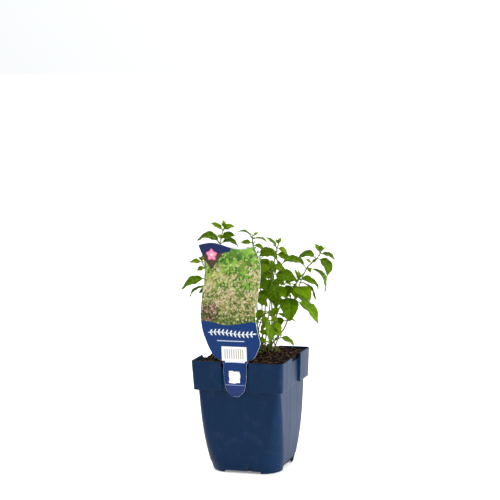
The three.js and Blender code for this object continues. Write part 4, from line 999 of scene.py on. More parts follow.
# Each shoot: the points of its stem in the plant's frame, and its leaves
SHOOTS = [
    {
        "name": "shoot_far_right",
        "route": [[23, 6, 120], [24, 6, 140], [39, 5, 160], [46, 4, 179], [56, 2, 207],
            [66, 0, 230], [77, -2, 241], [83, -3, 250]],
        "leaves": [
            leaf(1, 262, 10, 66, 20),
            leaf(0.36, 160, 27, -2, 82, 45),
            leaf(0.36, 0, 11, 19, 62, 10),
            leaf(0.5, 350, 42, -15, 63, 15),
            leaf(0.71, 180, 35, 69, 115, 15),
            leaf(0.72, 350, 41, 0, 111),
            leaf(0.73, 310, 8, -35, 30, 40),
            *pair(0.79, 190, 9, 45, 25, 35),
            leaf(0.86, 180, 24, 61, 115, 25),
            leaf(0.87, 345, 28, -4, 115, 28),
            leaf(0.96, 0, 20, 5, 57, 20),
            leaf(0.97, 180, 13, 70, 20, 20),
            leaf(1, 70, 8, 60, 20),
        ],
    },
    {
        "name": "shoot_right",
        "route": [[20, -1, 120], [21, 0, 141], [28, 0, 168], [34, -4, 186], [43, -9, 200],
            [51, -14, 212], [57, -17, 221]],
        "leaves": [
            leaf(0.66, 278, 37, -1, 112),
            leaf(0.84, 300, 35, -2, 43, 5),
            leaf(0.97, 10, 29, 15, 86, 22),
            leaf(0.93, 335, 33, -5, 85),
            leaf(0.72, 5, 31, -12, 46, 22),
            leaf(0.84, 205, 21, -1, 100, 30),
            leaf(0.9, 250, 19, -62, 35, 15),
            leaf(0.97, 175, 17, 23, 75, 35),
            leaf(0.98, 150, 13, 75, 20),
            leaf(0.5, 20, 18, 20, 60, 10),
            leaf(0.5, 200, 14, -10, 80, 40),
            *pair(1, 100, 10, 60, 20),
        ],
    },
    {
        "name": "shoot_front_middle",
        "route": [[15, -5, 120], [16, -6, 141], [21, -11, 178], [25, -17, 212], [26, -20, 236]],
        "leaves": [
            leaf(0.62, 160, 23, 72, 112, 30),
            leaf(0.62, 340, 20, 28, 95, 30),
            leaf(0.8, 282, 40, -3, 92, 62),
            leaf(0.72, 340, 26, 26, 85, 22),
            leaf(0.91, 350, 31, -2, 14, 38),
            leaf(0.91, 170, 24, 26, 97, 75),
            *pair(0.99, 355, 18, 20, 90, 45),
            *pair(1, 280, 10, 65, 20),
        ],
    },
    {
        "name": "shoot_top_right",
        "route": [[25, -7, 120], [24, -4, 141], [25, -3, 180], [25, -4, 206], [28, -8, 234],
            [31, -11, 252], [34, -13, 261]],
        "leaves": [
            leaf(0.56, 195, 24, 10, 65, 45),
            leaf(0.56, 15, 18, 15, 70, 40),
            leaf(0.68, 190, 24, 20, 60, 40),
            leaf(0.76, 335, 23, -42, 60, 15),
            leaf(0.8, 0, 19, 2, 48, 38),
            leaf(0.8, 180, 20, 34, 86, 55),
            leaf(0.9, 170, 18, 64, 37, 10),
            leaf(0.9, 0, 14, 4, 70, 30),
            *pair(1, 60, 9, 65, 30),
        ],
    },
    {
        "name": "shoot_top_middle",
        "route": [[11, 9, 120], [12, 10, 141], [16, 9, 170], [18, 8, 200], [14, 8, 234],
            [5, 10, 257], [5, 10, 268]],
        "leaves": [
            leaf(0.58, 350, 20, -12, 95, 55),
            leaf(0.66, 0, 22, 27, 112, 60),
            leaf(0.66, 200, 24, 25, 60, 30),
            leaf(0.76, 350, 28, 22, 73, 28),
            leaf(0.79, 290, 22, 8, 96, 65),
            leaf(0.79, 120, 18, 25, 60),
            leaf(0.84, 15, 17, -12, 28, 30),
            leaf(0.87, 190, 14, 17, 30, 35),
            leaf(0.94, 180, 22, 73, 93),
            leaf(0.94, 350, 18, 22, 66, 5),
            *pair(1, 0, 8, 42, 15, 35),
        ],
    },
    {
        "name": "shoot_centre",
        "route": [[8, 14, 120], [8, 15, 141], [8, 18, 185], [9, 22, 220], [11, 24, 242]],
        "leaves": [
            leaf(0.68, 0, 20, -3, 82, 55),
            leaf(0.56, 350, 17, -20, 42, 40),
            leaf(0.56, 170, 22, 15, 70, 20),
            leaf(0.68, 110, 22, 20, 65, 20),
            leaf(0.8, 0, 24, 12, 96, 55),
            leaf(0.8, 185, 24, 20, 65, 40),
            leaf(0.9, 0, 20, 20, 90, 60),
            leaf(0.9, 180, 22, 20, 60, 40),
            *pair(0.95, 80, 16, 25, 50),
            *pair(1, 160, 10, 45, 30, 30),
        ],
    },
    {
        "name": "shoot_left_top",
        "route": [[4, 4, 120], [2, 4, 141], [-10, 3, 180], [-23, 1, 220], [-32, 0, 254],
            [-32, 0, 266], [-28, -2, 280]],
        "leaves": [
            *pair(0.56, 150, 26, 25, 70, 20),
            leaf(0.74, 180, 32, 68, 115, 18),
            leaf(0.74, 0, 25, 46, 115, 15),
            leaf(0.84, 350, 18, 45, 61, 48),
            leaf(0.84, 100, 11, 40, 30),
            leaf(0.96, 175, 17, 49, 32, 25),
            leaf(0.96, 0, 15, 60, 85, 42),
            *pair(1, 95, 9, 75, 15),
        ],
    },
    {
        "name": "shoot_left",
        "route": [[0, 9, 120], [-3, 9, 141], [-18, 6, 172], [-36, -2, 207], [-49, -9, 232],
            [-54, -11, 243]],
        "leaves": [
            *pair(0.62, 15, 25, 20, 65, 20),
            leaf(0.86, 190, 10, -8, 34, 65),
            leaf(0.8, 90, 20, 25, 60),
            leaf(0.98, 185, 15, 14, 23, 30),
            leaf(0.98, 5, 14, 20, 35, 40),
            leaf(1, 0, 9, 80, 30, 60),
            leaf(1, 260, 8, 60, 20),
        ],
    },
    {
        "name": "shoot_left_low",
        "route": [[2, -4, 120], [-2, -5, 141], [-20, -9, 172], [-38, -14, 200], [-48, -16, 222],
            [-48, -17, 234]],
        "leaves": [
            leaf(0.68, 183, 32, 41, 114),
            leaf(0.68, 6, 22, 20, 65, 20),
            leaf(0.83, 182, 33, -2, 42, 20),
            leaf(0.83, 2, 26, 15, 50, 40),
            *pair(0.96, 275, 15, 30, 50),
            *pair(1, 190, 9, 60, 20),
        ],
    },
    {
        "name": "shoot_low_front",
        "route": [[29, -1, 120], [28, -3, 140], [24, -13, 158], [22, -17, 173]],
        "leaves": [
            leaf(0.7, 0, 15, 26, 110, 40),
            leaf(0.7, 190, 13, 20, 75, 40),
            leaf(0.86, 0, 16, 20, 95, 50),
            leaf(0.86, 180, 14, 26, 99, 35),
            leaf(0.97, 265, 38, 5, 80, 64),
            *pair(1, 165, 12, 35, 65, 40),
        ],
    },
    {
        "name": "shoot_low_fork",
        "route": [[15, 3, 120], [14, 3, 141], [9, 4, 156], [12, 3, 169], [18, 2, 181]],
        "leaves": [
            leaf(0.5, 350, 11, 34, 110, 55),
            leaf(0.72, 190, 12, 35, 110, 40),
            leaf(0.72, 10, 12, 25, 80, 40),
            leaf(1, 190, 15, 0, 65, 50),
            leaf(1, 350, 15, -20, 36, 55),
            leaf(0.9, 190, 14, -22, 47, 40),
            leaf(0.9, 90, 14, 30, 60, 30),
        ],
    },
    {
        "name": "shoot_low_right",
        "route": [[27, 14, 120], [29, 17, 138], [33, 22, 147]],
        "leaves": [
            leaf(0.75, 240, 11, 45, 40, 20),
            leaf(0.98, 350, 21, -8, 40, 18),
            leaf(0.98, 120, 14, 25, 60),
        ],
    },
    {
        "name": "shoot_crown",
        "route": [[9, -3, 120], [8, -4, 138], [7, -7, 146]],
        "leaves": [
            leaf(1, 60, 18, 42, 47, 10),
            leaf(1, 0, 13, 60, 110, 55),
            leaf(0.8, 190, 12, 40, 60, 30),
            leaf(0.8, 20, 12, 25, 60, 45),
        ],
    },
    {
        "name": "shoot_front_left",
        "route": [[3, -12, 120], [1, -14, 141], [-5, -21, 172], [-13, -27, 204], [-18, -31, 230]],
        "leaves": [
            *pair(0.6, 100, 24, 20, 70),
            *pair(0.78, 10, 26, 20, 65),
            *pair(0.93, 80, 18, 30, 55),
            *pair(1, 170, 11, 55, 30),
        ],
    },
    {
        "name": "shoot_back_left",
        "route": [[2, 19, 120], [-1, 21, 141], [-13, 32, 176], [-23, 42, 210], [-27, 46, 238]],
        "leaves": [
            *pair(0.6, 135, 25, 20, 70),
            *pair(0.78, 40, 25, 20, 65),
            *pair(0.92, 130, 18, 30, 55),
            *pair(1, 30, 11, 55, 30),
        ],
    },
    {
        "name": "shoot_back",
        "route": [[14, 21, 120], [14, 24, 141], [14, 38, 176], [12, 48, 208], [10, 52, 232]],
        "leaves": [
            *pair(0.6, 90, 26, 20, 70),
            *pair(0.78, 5, 24, 20, 65),
            *pair(0.92, 95, 18, 30, 55),
            *pair(1, 0, 11, 55, 30),
        ],
    },
    {
        "name": "shoot_back_right",
        "route": [[22, 19, 120], [24, 24, 141], [28, 36, 166], [34, 44, 190], [39, 46, 212]],
        "leaves": [
            *pair(0.55, 140, 20, 20, 65),
            *pair(0.76, 50, 24, 20, 65),
            *pair(0.92, 135, 18, 30, 55),
            *pair(1, 40, 11, 55, 30),
        ],
    },
]
STEM_RADIUS_BASE = 1.0
STEM_RADIUS_TIP = 0.5
STEM_RINGS = 10                 # to each stretch of a route
STEM_SIDES = 16
STEM_SQUARENESS = 1.25          # 1 is a square with sharp corners, 2 is round
BLADE_HALF_WIDTH = 0.29         # of the leaf's whole length
PETIOLE = 0.16                  # share of the leaf's length
PETIOLE_HALF_WIDTH = 0.5
FOLD = np.tan(np.radians(13))
LEAF_CLEARANCE = 3.0            # between sample points of leaves on different shoots
OWN_CLEARANCE = 1.5             # and of leaves on the same shoot
LEAF_FLOOR = 136.5              # no larger leaf hangs lower
TURN_STEPS = np.array([0, 12, -12, 24, -24, 36, -36, 50, -50, 65, -65])
LIFT_STEPS = (0, 14, -14, 28)
SAMPLE_ROWS, SAMPLE_COLUMNS = 12, 7
SAMPLES_ALONG = np.arange(1, SAMPLE_ROWS + 1) / SAMPLE_ROWS
SAMPLE_FOOT = np.repeat(np.arange(1, SAMPLE_ROWS + 1) <= 4, SAMPLE_COLUMNS)
STEM_SAMPLES = 81


def leaf_frame(blades, along):
    """Middle lines of leaves, from rows of root x, y, z, turn, length, lift, droop, roll. A
    line is an arc in an upright plane: it starts at the slope `lift` and has lost `droop`
    at its tip. Gives its points and the directions across it and out of its face."""
    turn, length, lift, droop, roll = (column[:, None] for column in blades.T[3:])
    turn, lift, droop, roll = (np.radians(angle) for angle in (turn, lift, droop, roll))
    slope = lift - droop * along
    out = (np.sin(lift) - np.sin(slope)) / droop
    up = (np.cos(slope) - np.cos(lift)) / droop
    upright = np.array([0, 0, 1.0])
    reach = np.stack([np.cos(turn), np.sin(turn), 0 * turn], -1)
    side = np.stack([np.sin(turn), -np.cos(turn), 0 * turn], -1)
    side = side * np.where(side[..., 1:2] > 0, -1, 1)
    tangent = reach * np.cos(slope)[..., None] + upright * np.sin(slope)[..., None]
    face = upright * np.cos(slope)[..., None] - reach * np.sin(slope)[..., None]
    face = face * np.cos(roll)[..., None] + side * np.sin(roll)[..., None]
    point = blades[:, None, :3] + length[..., None] * (
        reach * out[..., None] + upright * up[..., None])
    return point, np.cross(tangent, face), face


def egg_shape(share):
    """A blade's width from foot to tip, widest at a third: the sine of a bent half turn."""
    return np.sin(np.pi * share ** 0.7).clip(0, 1) ** 0.95


def leaf_half_width(length, along):
    """Half a leaf's width: the narrow stalk's, then the egg shape of the blade."""
    egg = egg_shape(np.clip((along - PETIOLE) / (1 - PETIOLE), 0, 1))
    return np.where(along <= PETIOLE, PETIOLE_HALF_WIDTH,
                    np.maximum(BLADE_HALF_WIDTH * length * egg, 0.4))


def leaf_samples(blades):
    """Rows of points all over each leaf, as far above its middle line as the fold lifts
    them there."""
    point, across, face = leaf_frame(blades, SAMPLES_ALONG)
    half = leaf_half_width(blades[:, 4:5], SAMPLES_ALONG)
    offset = half[..., None] * np.linspace(-1, 1, SAMPLE_COLUMNS)
    samples = (point[:, :, None] + across[:, :, None] * offset[..., None]
               + face[:, :, None] * (np.abs(offset) * FOLD)[..., None])
    return samples.reshape(len(blades), -1, 3)


def filled(room, points, owner, foot):
    """The points that are taken, each with the number of its shoot and whether it is near a
    leaf's or a stem's foot, and now some more of them."""
    more = points, np.full(len(points), owner), np.broadcast_to(foot, len(points))
    return tuple(np.concatenate(both) for both in zip(room, more))


def settled(blade, owner, room, floor=LEAF_FLOOR):
    """A leaf turns round its stem or lifts, a step at a time, until its samples are clear of
    all that is taken. Points of its own shoot may come nearer, and near the feet touch.
    Gives the leaf, its samples and how clear they are."""
    taken, owners, feet = room
    near = np.linalg.norm(taken - blade[:3], axis=1) < 1.1 * blade[4] + LEAF_CLEARANCE
    others, own, foot = taken[near], owners[near] == owner, feet[near]
    ignored = own & (foot | SAMPLE_FOOT[:, None])
    weight = np.where(own, LEAF_CLEARANCE / OWN_CLEARANCE, 1.0)
    tries, clearances = [], []
    for lift in LIFT_STEPS:
        moved = np.repeat(blade[None], len(TURN_STEPS), 0)
        moved[:, 3] += TURN_STEPS
        moved[:, 5] += lift
        samples = leaf_samples(moved)
        apart = np.linalg.norm(samples[:, :, None] - others, axis=-1) * weight
        apart[:, ignored] = np.inf
        clearance = apart.reshape(len(moved), -1).min(1, initial=np.inf)
        clearance[(samples[..., 2] < floor).any(1)] = -1
        tries += list(zip(moved, samples))
        clearances += clearance.tolist()
        clear = np.flatnonzero(np.array(clearances) >= LEAF_CLEARANCE)
        if len(clear):
            return *tries[clear[0]], clearances[clear[0]]
    best = int(np.argmax(clearances))
    return *tries[best], clearances[best]


def grow():
    """The place of every leaf of every shoot, in the plant's frame, in the order they grew:
    each settles clear of the label, of all stems and of the leaves before it. Gives with
    them what is taken in the end."""
    x, y, z = label_sheet(61, 21).reshape(-1, 3).T
    room = (np.column_stack([*turned(x, y, -PLANT_TURN), z]),
            np.full(len(x), -1), np.zeros(len(x), bool))
    routes = [np.array(shoot["route"], float) for shoot in SHOOTS]
    for index, route in enumerate(routes):
        room = filled(room, curve_at(route, np.linspace(0, 1, STEM_SAMPLES)), index, True)
    grown = []
    for index, route in enumerate(routes):
        places = []
        for at, *habit in SHOOTS[index]["leaves"]:
            root = curve_at(route, np.array([at]))[0]
            blade, samples, _ = settled(np.array([*root, *habit]), index, room)
            places.append(blade)
            room = filled(room, samples, index, SAMPLE_FOOT)
        grown.append(np.array(places))
    return grown, room


LEAF_ALONG = np.concatenate([np.linspace(0, PETIOLE, 5)[:-1], np.linspace(PETIOLE, 1, 32)])
LEAF_ACROSS = np.linspace(-1, 1, 13)
TEETH = 6.5                     # to each side of a blade
TEETH_SHIFT, TEETH_OFFSET = 0.3, 0.15    # in teeth; the second between the two sides
TOOTH_RISE = 0.8                # share of a tooth before its point
TOOTH_DEPTH = 0.06              # share of the half width
TOOTHED = (0.1, 0.24, 0.94, 1.0)         # shares of the blade where teeth and veins fade
LEAST_HALF_WIDTH = 0.16
STALK_FLARE = 0.05              # share of the blade that the stalk widens into
SIDE_VEINS = 5.5
VEIN_LEAN = 0.9                 # how far a side vein runs forward, in vein spaces
BETWEEN_VEINS, MIDRIB_GROOVE, MARGIN_WAVE, MARGIN_RIPPLE, MARGIN_CURL, LEAF_BEND = (
    0.008, 0.010, 0.022, 0.008, 0.03, 0.035)     # shares of a leaf's length
WAVES, RIPPLES = 1.5, 3.7       # along a margin
WAVE_OFFSET = 0.8               # radians between the two sides
MIDRIB, RIB_BELOW = 0.45, 0.5   # half widths of the groove and of the rib under it
BLADE_THICKNESS, STALK_THICKENING, MIDRIB_THICKENING = 0.24, 0.22, 0.1
MARGIN_THINNING = 0.75          # share of the thickness
FACE_SHARE = 0.8                # of a thickness lies over the middle
JOINT_SWELL, JOINT_REACH = 0.28, 1.3
HAIR_RADIUS = 0.055
HAIR_LENGTHS = (0.45, 1.0)
HAIR_STRAY = 0.35


def leaf_skins(blades, draw):
    """Each leaf as a tube of rings, the face's points from left to right and then those of
    the underside back. Its outline is the egg shape with rounded teeth that point forwards.
    The blade folds up from the midrib, sinks along its veins and rises between them, its
    margin waves as a sine and curls down, and the whole leaf bends a little sideways."""
    count, length = len(blades), blades[:, 4][:, None, None]
    point, across, face = leaf_frame(blades, LEAF_ALONG)
    share = np.clip((LEAF_ALONG - PETIOLE) / (1 - PETIOLE), 0, 1)[None, :, None]
    column = LEAF_ACROSS[None, None]
    egg = egg_shape(share)
    phase = (share * TEETH + TEETH_SHIFT + TEETH_OFFSET * np.sign(column)) % 1
    saw = np.minimum(phase / TOOTH_RISE, (1 - phase) / (1 - TOOTH_RISE)) - 0.5
    fade = smoothstep(share, *TOOTHED[:2]) * (1 - smoothstep(share, *TOOTHED[2:]))
    blade_half = np.maximum(BLADE_HALF_WIDTH * length * egg, LEAST_HALF_WIDTH)
    blade_half = blade_half * (1 + TOOTH_DEPTH * saw * fade)
    stalk = 1 - smoothstep(share, 0, STALK_FLARE)
    half = np.maximum(blade_half, 0.5 * PETIOLE_HALF_WIDTH * (1 + stalk) * (share < 0.5))
    offset = column * half
    rise = (np.sqrt(offset ** 2 + 0.25) - 0.5) * FOLD
    vein = share * SIDE_VEINS - np.abs(column) * VEIN_LEAN
    relief = BETWEEN_VEINS * length * np.sin(np.pi * vein) ** 2 * (1 - column ** 2) * fade
    groove = -MIDRIB_GROOVE * length * np.exp(-(offset / MIDRIB) ** 2) * fade
    swing, beat, sway = draw.uniform(0, 2 * np.pi, (3, count, 1, 1))
    slow = np.sin(2 * np.pi * WAVES * share + swing + WAVE_OFFSET * np.sign(column))
    quick = np.sin(2 * np.pi * RIPPLES * share + beat)
    wave = length * (MARGIN_WAVE * slow + MARGIN_RIPPLE * quick) * column ** 2 * fade
    curl = -MARGIN_CURL * length * draw.uniform(0, 1, (count, 1, 1)) * column ** 4 * egg
    height = rise + relief + groove + wave + curl
    thick = (BLADE_THICKNESS * (1 - MARGIN_THINNING * column ** 4) + STALK_THICKENING * stalk
             + MIDRIB_THICKENING * np.exp(-(offset / RIB_BELOW) ** 2))
    bend = (LEAF_BEND * length * np.sin(sway) * share ** 2)[..., 0]
    line = (point + across * bend[..., None])[:, :, None]
    middle = line + across[:, :, None] * offset[..., None]
    top = middle + face[:, :, None] * (height + FACE_SHARE * thick)[..., None]
    under = middle + face[:, :, None] * (height - thick)[..., None]
    return np.concatenate([top, under[:, :, ::-1]], 2)


def stem_skin(route, joints):
    """A stem as a tube: rings round its route whose radius narrows from foot to tip and
    swells at the joints, each a square with rounded corners, the superellipse of a power
    between 1 and 2."""
    at = np.linspace(0, 1, STEM_RINGS * (len(route) - 1) + 1)
    centre = curve_at(route, at)
    tangent = unit(np.gradient(centre, axis=0))
    side = unit(np.cross((0, 1.0, 0), tangent))
    angle = np.arange(STEM_SIDES) * 2 * np.pi / STEM_SIDES
    power = STEM_SQUARENESS
    corner = (np.abs(np.cos(angle)) ** power + np.abs(np.sin(angle)) ** power) ** (-1 / power)
    walked = np.concatenate([[0], np.cumsum(np.linalg.norm(np.diff(centre, axis=0), axis=1))])
    joint_walk = np.interp(joints, at, walked)
    swell = np.exp(-((walked[:, None] - joint_walk) / JOINT_REACH) ** 2).max(1, initial=0)
    radius = STEM_RADIUS_BASE + (STEM_RADIUS_TIP - STEM_RADIUS_BASE) * at
    radius *= 1 + JOINT_SWELL * swell
    radius[-1] *= 0.4
    spread = (radius[:, None] * corner)[..., None]
    return rings_round(centre, spread, side, np.cross(tangent, side), STEM_SIDES)


def hair_skins(roots, ways, draw):
    """Fine hairs, each a slim three-sided spike from a root, its tip bent off its way."""
    ways = unit(ways)
    side = unit(np.cross(ways, (0.3, 0.2, 1.0)))
    foot = rings_round(roots, HAIR_RADIUS, side, np.cross(side, ways), 3)
    reach = draw.uniform(*HAIR_LENGTHS, (len(roots), 1))
    tip = roots + reach * (ways + HAIR_STRAY * draw.normal(size=roots.shape))
    return np.concatenate([foot, tip[:, None]], 1)


HAIR_FACES = np.array([(0, 1, 3), (1, 2, 3), (2, 0, 3), (0, 2, 1)])


def downy_leaf(tree):
    """A soft calamint leaf: green flesh that light passes through, matt with a faint sheen
    of fine down. Veins are paler and sunken, young leaves yellower, undersides greyer."""
    tone = add_node(tree, "ShaderNodeSeparateColor", {
        "Color": add_node(tree, "ShaderNodeAttribute", attribute_name="tone").outputs["Color"]})
    over = add_node(tree, "ShaderNodeSeparateXYZ", {
        "Vector": add_node(tree, "ShaderNodeUVMap", uv_map="blade").outputs["UV"]})
    place = add_node(tree, "ShaderNodeTexCoord").outputs["Object"]
    aside = add_node(tree, "ShaderNodeMath", {0: over.outputs["X"], 1: 0.5}, operation="SUBTRACT")
    out = add_node(tree, "ShaderNodeMath", {0: aside.outputs["Value"]}, operation="ABSOLUTE")
    forward = add_node(tree, "ShaderNodeMath", {
        0: over.outputs["Y"], 1: SIDE_VEINS}, operation="MULTIPLY")
    back = add_node(tree, "ShaderNodeMath", {
        0: out.outputs["Value"], 1: 2 * VEIN_LEAN}, operation="MULTIPLY")
    phase = add_node(tree, "ShaderNodeMath", {
        0: forward.outputs["Value"], 1: back.outputs["Value"]}, operation="SUBTRACT")
    from_vein = add_node(tree, "ShaderNodeMath", {
        0: phase.outputs["Value"], 1: 0.5}, operation="PINGPONG")
    side_vein = add_node(tree, "ShaderNodeMapRange", {
        "Value": from_vein.outputs["Value"], "From Min": 0.02, "From Max": 0.13,
        "To Min": 0.75, "To Max": 0.0})
    midrib = add_node(tree, "ShaderNodeMapRange", {
        "Value": out.outputs["Value"], "From Min": 0.012, "From Max": 0.05,
        "To Min": 1.0, "To Max": 0.0})
    veins = add_node(tree, "ShaderNodeMath", {
        0: side_vein.outputs["Result"], 1: midrib.outputs["Result"]}, operation="MAXIMUM")
    mottle = add_node(tree, "ShaderNodeTexNoise", {
        "Vector": place, "Scale": 1 / (5 * MM), "Detail": 4.0, "Roughness": 0.6})
    # The tone's red is each leaf's lightness, painted shade on the low leaves included, here with
    # mottling
    depth = add_node(tree, "ShaderNodeMath", {
        0: mottle.outputs["Fac"], 1: tone.outputs["Red"]}, operation="ADD")
    shade = add_node(tree, "ShaderNodeMapRange", {
        "Value": depth.outputs["Value"], "From Min": 0.45, "From Max": 1.45})
    green = add_node(tree, "ShaderNodeMix", {
        0: shade.outputs["Result"], 6: linear("#1c3000"), 7: linear("#507000")},
        data_type="RGBA")
    young = add_node(tree, "ShaderNodeMix", {
        0: tone.outputs["Green"], 6: green.outputs[2], 7: linear("#7a940a")},
        data_type="RGBA")
    under = add_node(tree, "ShaderNodeMix", {
        0: tone.outputs["Blue"], 6: young.outputs[2], 7: linear("#45600a")},
        data_type="RGBA")
    vein_share = add_node(tree, "ShaderNodeMath", {
        0: veins.outputs["Value"], 1: 0.2}, operation="MULTIPLY")
    colour = add_node(tree, "ShaderNodeMix", {
        0: vein_share.outputs["Value"], 6: under.outputs[2], 7: linear("#86a336")},
        data_type="RGBA")
    down = add_node(tree, "ShaderNodeTexNoise", {
        "Vector": place, "Scale": 1 / (0.45 * MM), "Detail": 2.0})
    sunk = add_node(tree, "ShaderNodeMath", {
        0: down.outputs["Fac"], 1: veins.outputs["Value"]}, operation="SUBTRACT")
    bump = add_node(tree, "ShaderNodeBump", {
        "Height": sunk.outputs["Value"], "Strength": 0.5, "Distance": 0.2 * MM})
    return {"Base Color": colour.outputs[2], "Roughness": 0.55, "Specular IOR Level": 0.02,
            "Subsurface Weight": 0.35, "Subsurface Radius": (0.6, 1.0, 0.2),
            "Subsurface Scale": 0.7 * MM, "Sheen Weight": 0.01, "Sheen Roughness": 0.5,
            "Sheen Tint": linear("#b9cc80"), "Normal": bump.outputs["Normal"]}


def downy_stem(tree):
    """A young square stem: green, flushed reddish brown low down and in patches."""
    place = add_node(tree, "ShaderNodeTexCoord").outputs["Object"]
    height = add_node(tree, "ShaderNodeSeparateXYZ", {"Vector": place}).outputs["Z"]
    patches = add_node(tree, "ShaderNodeTexNoise", {
        "Vector": place, "Scale": 1 / (11 * MM), "Detail": 3.0})
    lowness = add_node(tree, "ShaderNodeMapRange", {
        "Value": height, "From Min": 0.125, "From Max": 0.235, "To Min": 0.35, "To Max": -0.25})
    flush = add_node(tree, "ShaderNodeMath", {
        0: lowness.outputs["Result"], 1: patches.outputs["Fac"]}, operation="ADD", use_clamp=True)
    colour = add_node(tree, "ShaderNodeMix", {
        0: flush.outputs["Value"], 6: linear("#5f7d24"), 7: linear("#463020")},
        data_type="RGBA")
    grain = add_node(tree, "ShaderNodeTexNoise", {
        "Vector": place, "Scale": 1 / (0.5 * MM), "Detail": 2.0})
    bump = add_node(tree, "ShaderNodeBump", {
        "Height": grain.outputs["Fac"], "Strength": 0.4, "Distance": 0.15 * MM})
    return {"Base Color": colour.outputs[2], "Roughness": 0.55, "Specular IOR Level": 0.2,
            "Sheen Weight": 0.05, "Normal": bump.outputs["Normal"]}


def plant_hair(tree):
    """Plant hairs: colourless and shining, pale green by what shows through them."""
    place = add_node(tree, "ShaderNodeTexCoord").outputs["Object"]
    patches = add_node(tree, "ShaderNodeTexNoise", {"Vector": place, "Scale": 1 / (4 * MM)})
    colour = add_node(tree, "ShaderNodeMix", {
        0: patches.outputs["Fac"], 6: linear("#7f9848"), 7: linear("#a9bc74")},
        data_type="RGBA")
    return {"Base Color": colour.outputs[2], "Roughness": 0.4, "Specular IOR Level": 0.5}


plant_skins = (finish_material("downy_green_leaf", downy_leaf),
               finish_material("downy_square_stem", downy_stem),
               finish_material("fine_plant_hair", plant_hair))
RING = 2 * len(LEAF_ACROSS)
one_leaf = tube_quads(len(LEAF_ALONG), RING)
UNDERSIDE = np.tile(np.arange(RING) >= len(LEAF_ACROSS), (len(LEAF_ALONG), 1))
blade_across = np.concatenate([LEAF_ACROSS, LEAF_ACROSS[::-1]]) / 2 + 0.5
blade_along = np.clip((LEAF_ALONG - PETIOLE) / (1 - PETIOLE), 0, 1)
BLADE_MAP = np.stack(np.meshgrid(blade_across, blade_along), -1).reshape(-1, 2)
HAIRS_PER_LEAF = 22
HAIRS_PER_RING = 2
HAIRS_FROM_RING = 8             # those below it are in the soil
AXIL_PARENT = 15                # a longer leaf has a tiny one in its axil
AXIL_PARENT_TOP = 0.98          # unless it stands at its stem's tip
AXIL_LENGTHS = (4.5, 7.0)
AXIL_LIFTS = (45, 70)
AXIL_DROOP = 30
LOW_LEAVES = 5                  # to a shoot
LOW_LEAVES_AT = (0.04, 0.2)     # shares of its route
LOW_LEAF_LEAST = (0, 5, 20, 40, -30)     # turn, length, lift, droop and roll
LOW_LEAF_MOST = (360, 11, 65, 41, 30)
LOW_LEAF_CLEARANCE = 1.9
BUD_LENGTH, BUD_LIFT = 2.2, 80
ADULT_LENGTH = 16               # a leaf this long has the full green
AXIL_YOUTH, LOW_YOUTH = 0.8, 0.3
# Heights for the leaves' tone: below the crowd they get painted shade, above it a darker tone
DIM_BELOW, CROWD_FOOT, CROWD_TOP, DIM_ABOVE = 125, 160, 205, 240     # heights

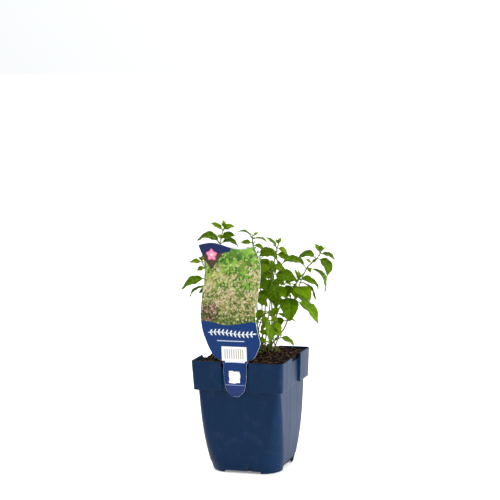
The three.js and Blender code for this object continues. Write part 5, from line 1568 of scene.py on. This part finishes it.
grown, room = grow()
for index, (shoot, blades) in enumerate(zip(SHOOTS, grown)):
    draw = np.random.default_rng(100 + index)
    route = np.array(shoot["route"], float)
    joints = np.array([blade[0] for blade in shoot["leaves"]])

    # A tiny leaf stands in the axil of every larger leaf, and some round the stem's foot
    axils = blades[(blades[:, 4] > AXIL_PARENT) & (joints < AXIL_PARENT_TOP)].copy()
    axils[:, 3] += draw.uniform(-25, 25, len(axils))
    axils[:, 4] = draw.uniform(*AXIL_LENGTHS, len(axils))
    axils[:, 5] = draw.uniform(*AXIL_LIFTS, len(axils))
    axils[:, 6:] = AXIL_DROOP, 0
    low = np.column_stack([curve_at(route, draw.uniform(*LOW_LEAVES_AT, LOW_LEAVES)),
                           draw.uniform(LOW_LEAF_LEAST, LOW_LEAF_MOST, (LOW_LEAVES, 5))])
    # A low leaf without room among its neighbours is still a bud
    for place in low:
        place[:], samples, clearance = settled(place, index, room, floor=0)
        if clearance < LOW_LEAF_CLEARANCE:
            place[4:6] = BUD_LENGTH, BUD_LIFT
            samples = leaf_samples(place[None])[0]
        room = filled(room, samples, index, SAMPLE_FOOT)
    youth = np.concatenate([np.clip(1.25 - blades[:, 4] / ADULT_LENGTH, 0, 1),
                            np.full(len(axils), AXIL_YOUTH), np.full(LOW_LEAVES, LOW_YOUTH)])
    blades = np.concatenate([blades, axils, low])
    # The lowest leaves get painted shade, as under the clump, and those high up a darker tone:
    # both are darker than the crowd in the middle
    height = blades[:, 2]
    shade_and_tone_by_height = ((0.3 + 0.7 * smoothstep(height, DIM_BELOW, CROWD_FOOT))
              * (1 - 0.5 * smoothstep(height, CROWD_TOP, DIM_ABOVE)))

    leaves = leaf_skins(blades, draw)
    stem = stem_skin(route, joints)
    rows = len(stem)
    edge_rows = draw.integers(2, len(LEAF_ALONG) - 2, (len(blades), HAIRS_PER_LEAF))
    edge_side = np.where(draw.random(edge_rows.shape) < 0.5, 0, len(LEAF_ACROSS) - 1)
    leaf_index = np.arange(len(blades))[:, None]
    edge = leaves[leaf_index, edge_rows, edge_side]
    outward = edge - leaves[leaf_index, edge_rows, len(LEAF_ACROSS) // 2]
    ring_index = draw.integers(HAIRS_FROM_RING, rows, rows * HAIRS_PER_RING)
    side_index = draw.integers(0, STEM_SIDES, len(ring_index))
    stem_root = stem[ring_index, side_index]
    stem_out = stem_root - stem[ring_index].mean(1)
    hairs = hair_skins(np.concatenate([edge.reshape(-1, 3), stem_root]),
                       np.concatenate([outward.reshape(-1, 3), stem_out]), draw)

    stem_start = leaves[..., 0].size
    hair_start = stem_start + stem[..., 0].size
    parts = (repeated(one_leaf, leaves[0, ..., 0].size, len(leaves)),
             tube_quads(*stem.shape[:2], stem_start),
             repeated([HAIR_FACES], 4, len(hairs), hair_start))
    u, w, z = np.concatenate([part.reshape(-1, 3) for part in (leaves, stem, hairs)]).T
    points = np.column_stack([*turned(u, w, PLANT_TURN), z])
    piece = add_piece(shoot["name"] + "_living", points, sum(parts, []), *plant_skins, sharp=80)
    kinds = np.repeat([0, 1, 2], [sum(len(group) for group in part) for part in parts])
    piece.data.polygons.foreach_set("material_index", kinds.astype(np.int32))

    # Each point of a leaf knows how light the leaf is, painted shade by height included, how
    # young it is, whether it lies on the underside, and its place across and along the blade
    light = shade_and_tone_by_height * draw.uniform(0.5, 1, len(leaves))
    tone = np.zeros((len(points), 3))
    tone[:stem_start] = np.stack(np.broadcast_arrays(
        light[:, None, None], youth[:, None, None], UNDERSIDE), -1).reshape(-1, 3)
    add_colours(piece, "tone", tone)
    flat = np.zeros((len(points), 2))
    flat[:stem_start] = np.tile(BLADE_MAP, (len(leaves), 1))
    corner_points = np.zeros(len(piece.data.loops), np.int32)
    piece.data.loops.foreach_get("vertex_index", corner_points)
    piece.data.uv_layers.new(name="blade").data.foreach_set(
        "uv", flat[corner_points].astype(np.float32).ravel())
    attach(piece, "root")
    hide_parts(shoot["name"])
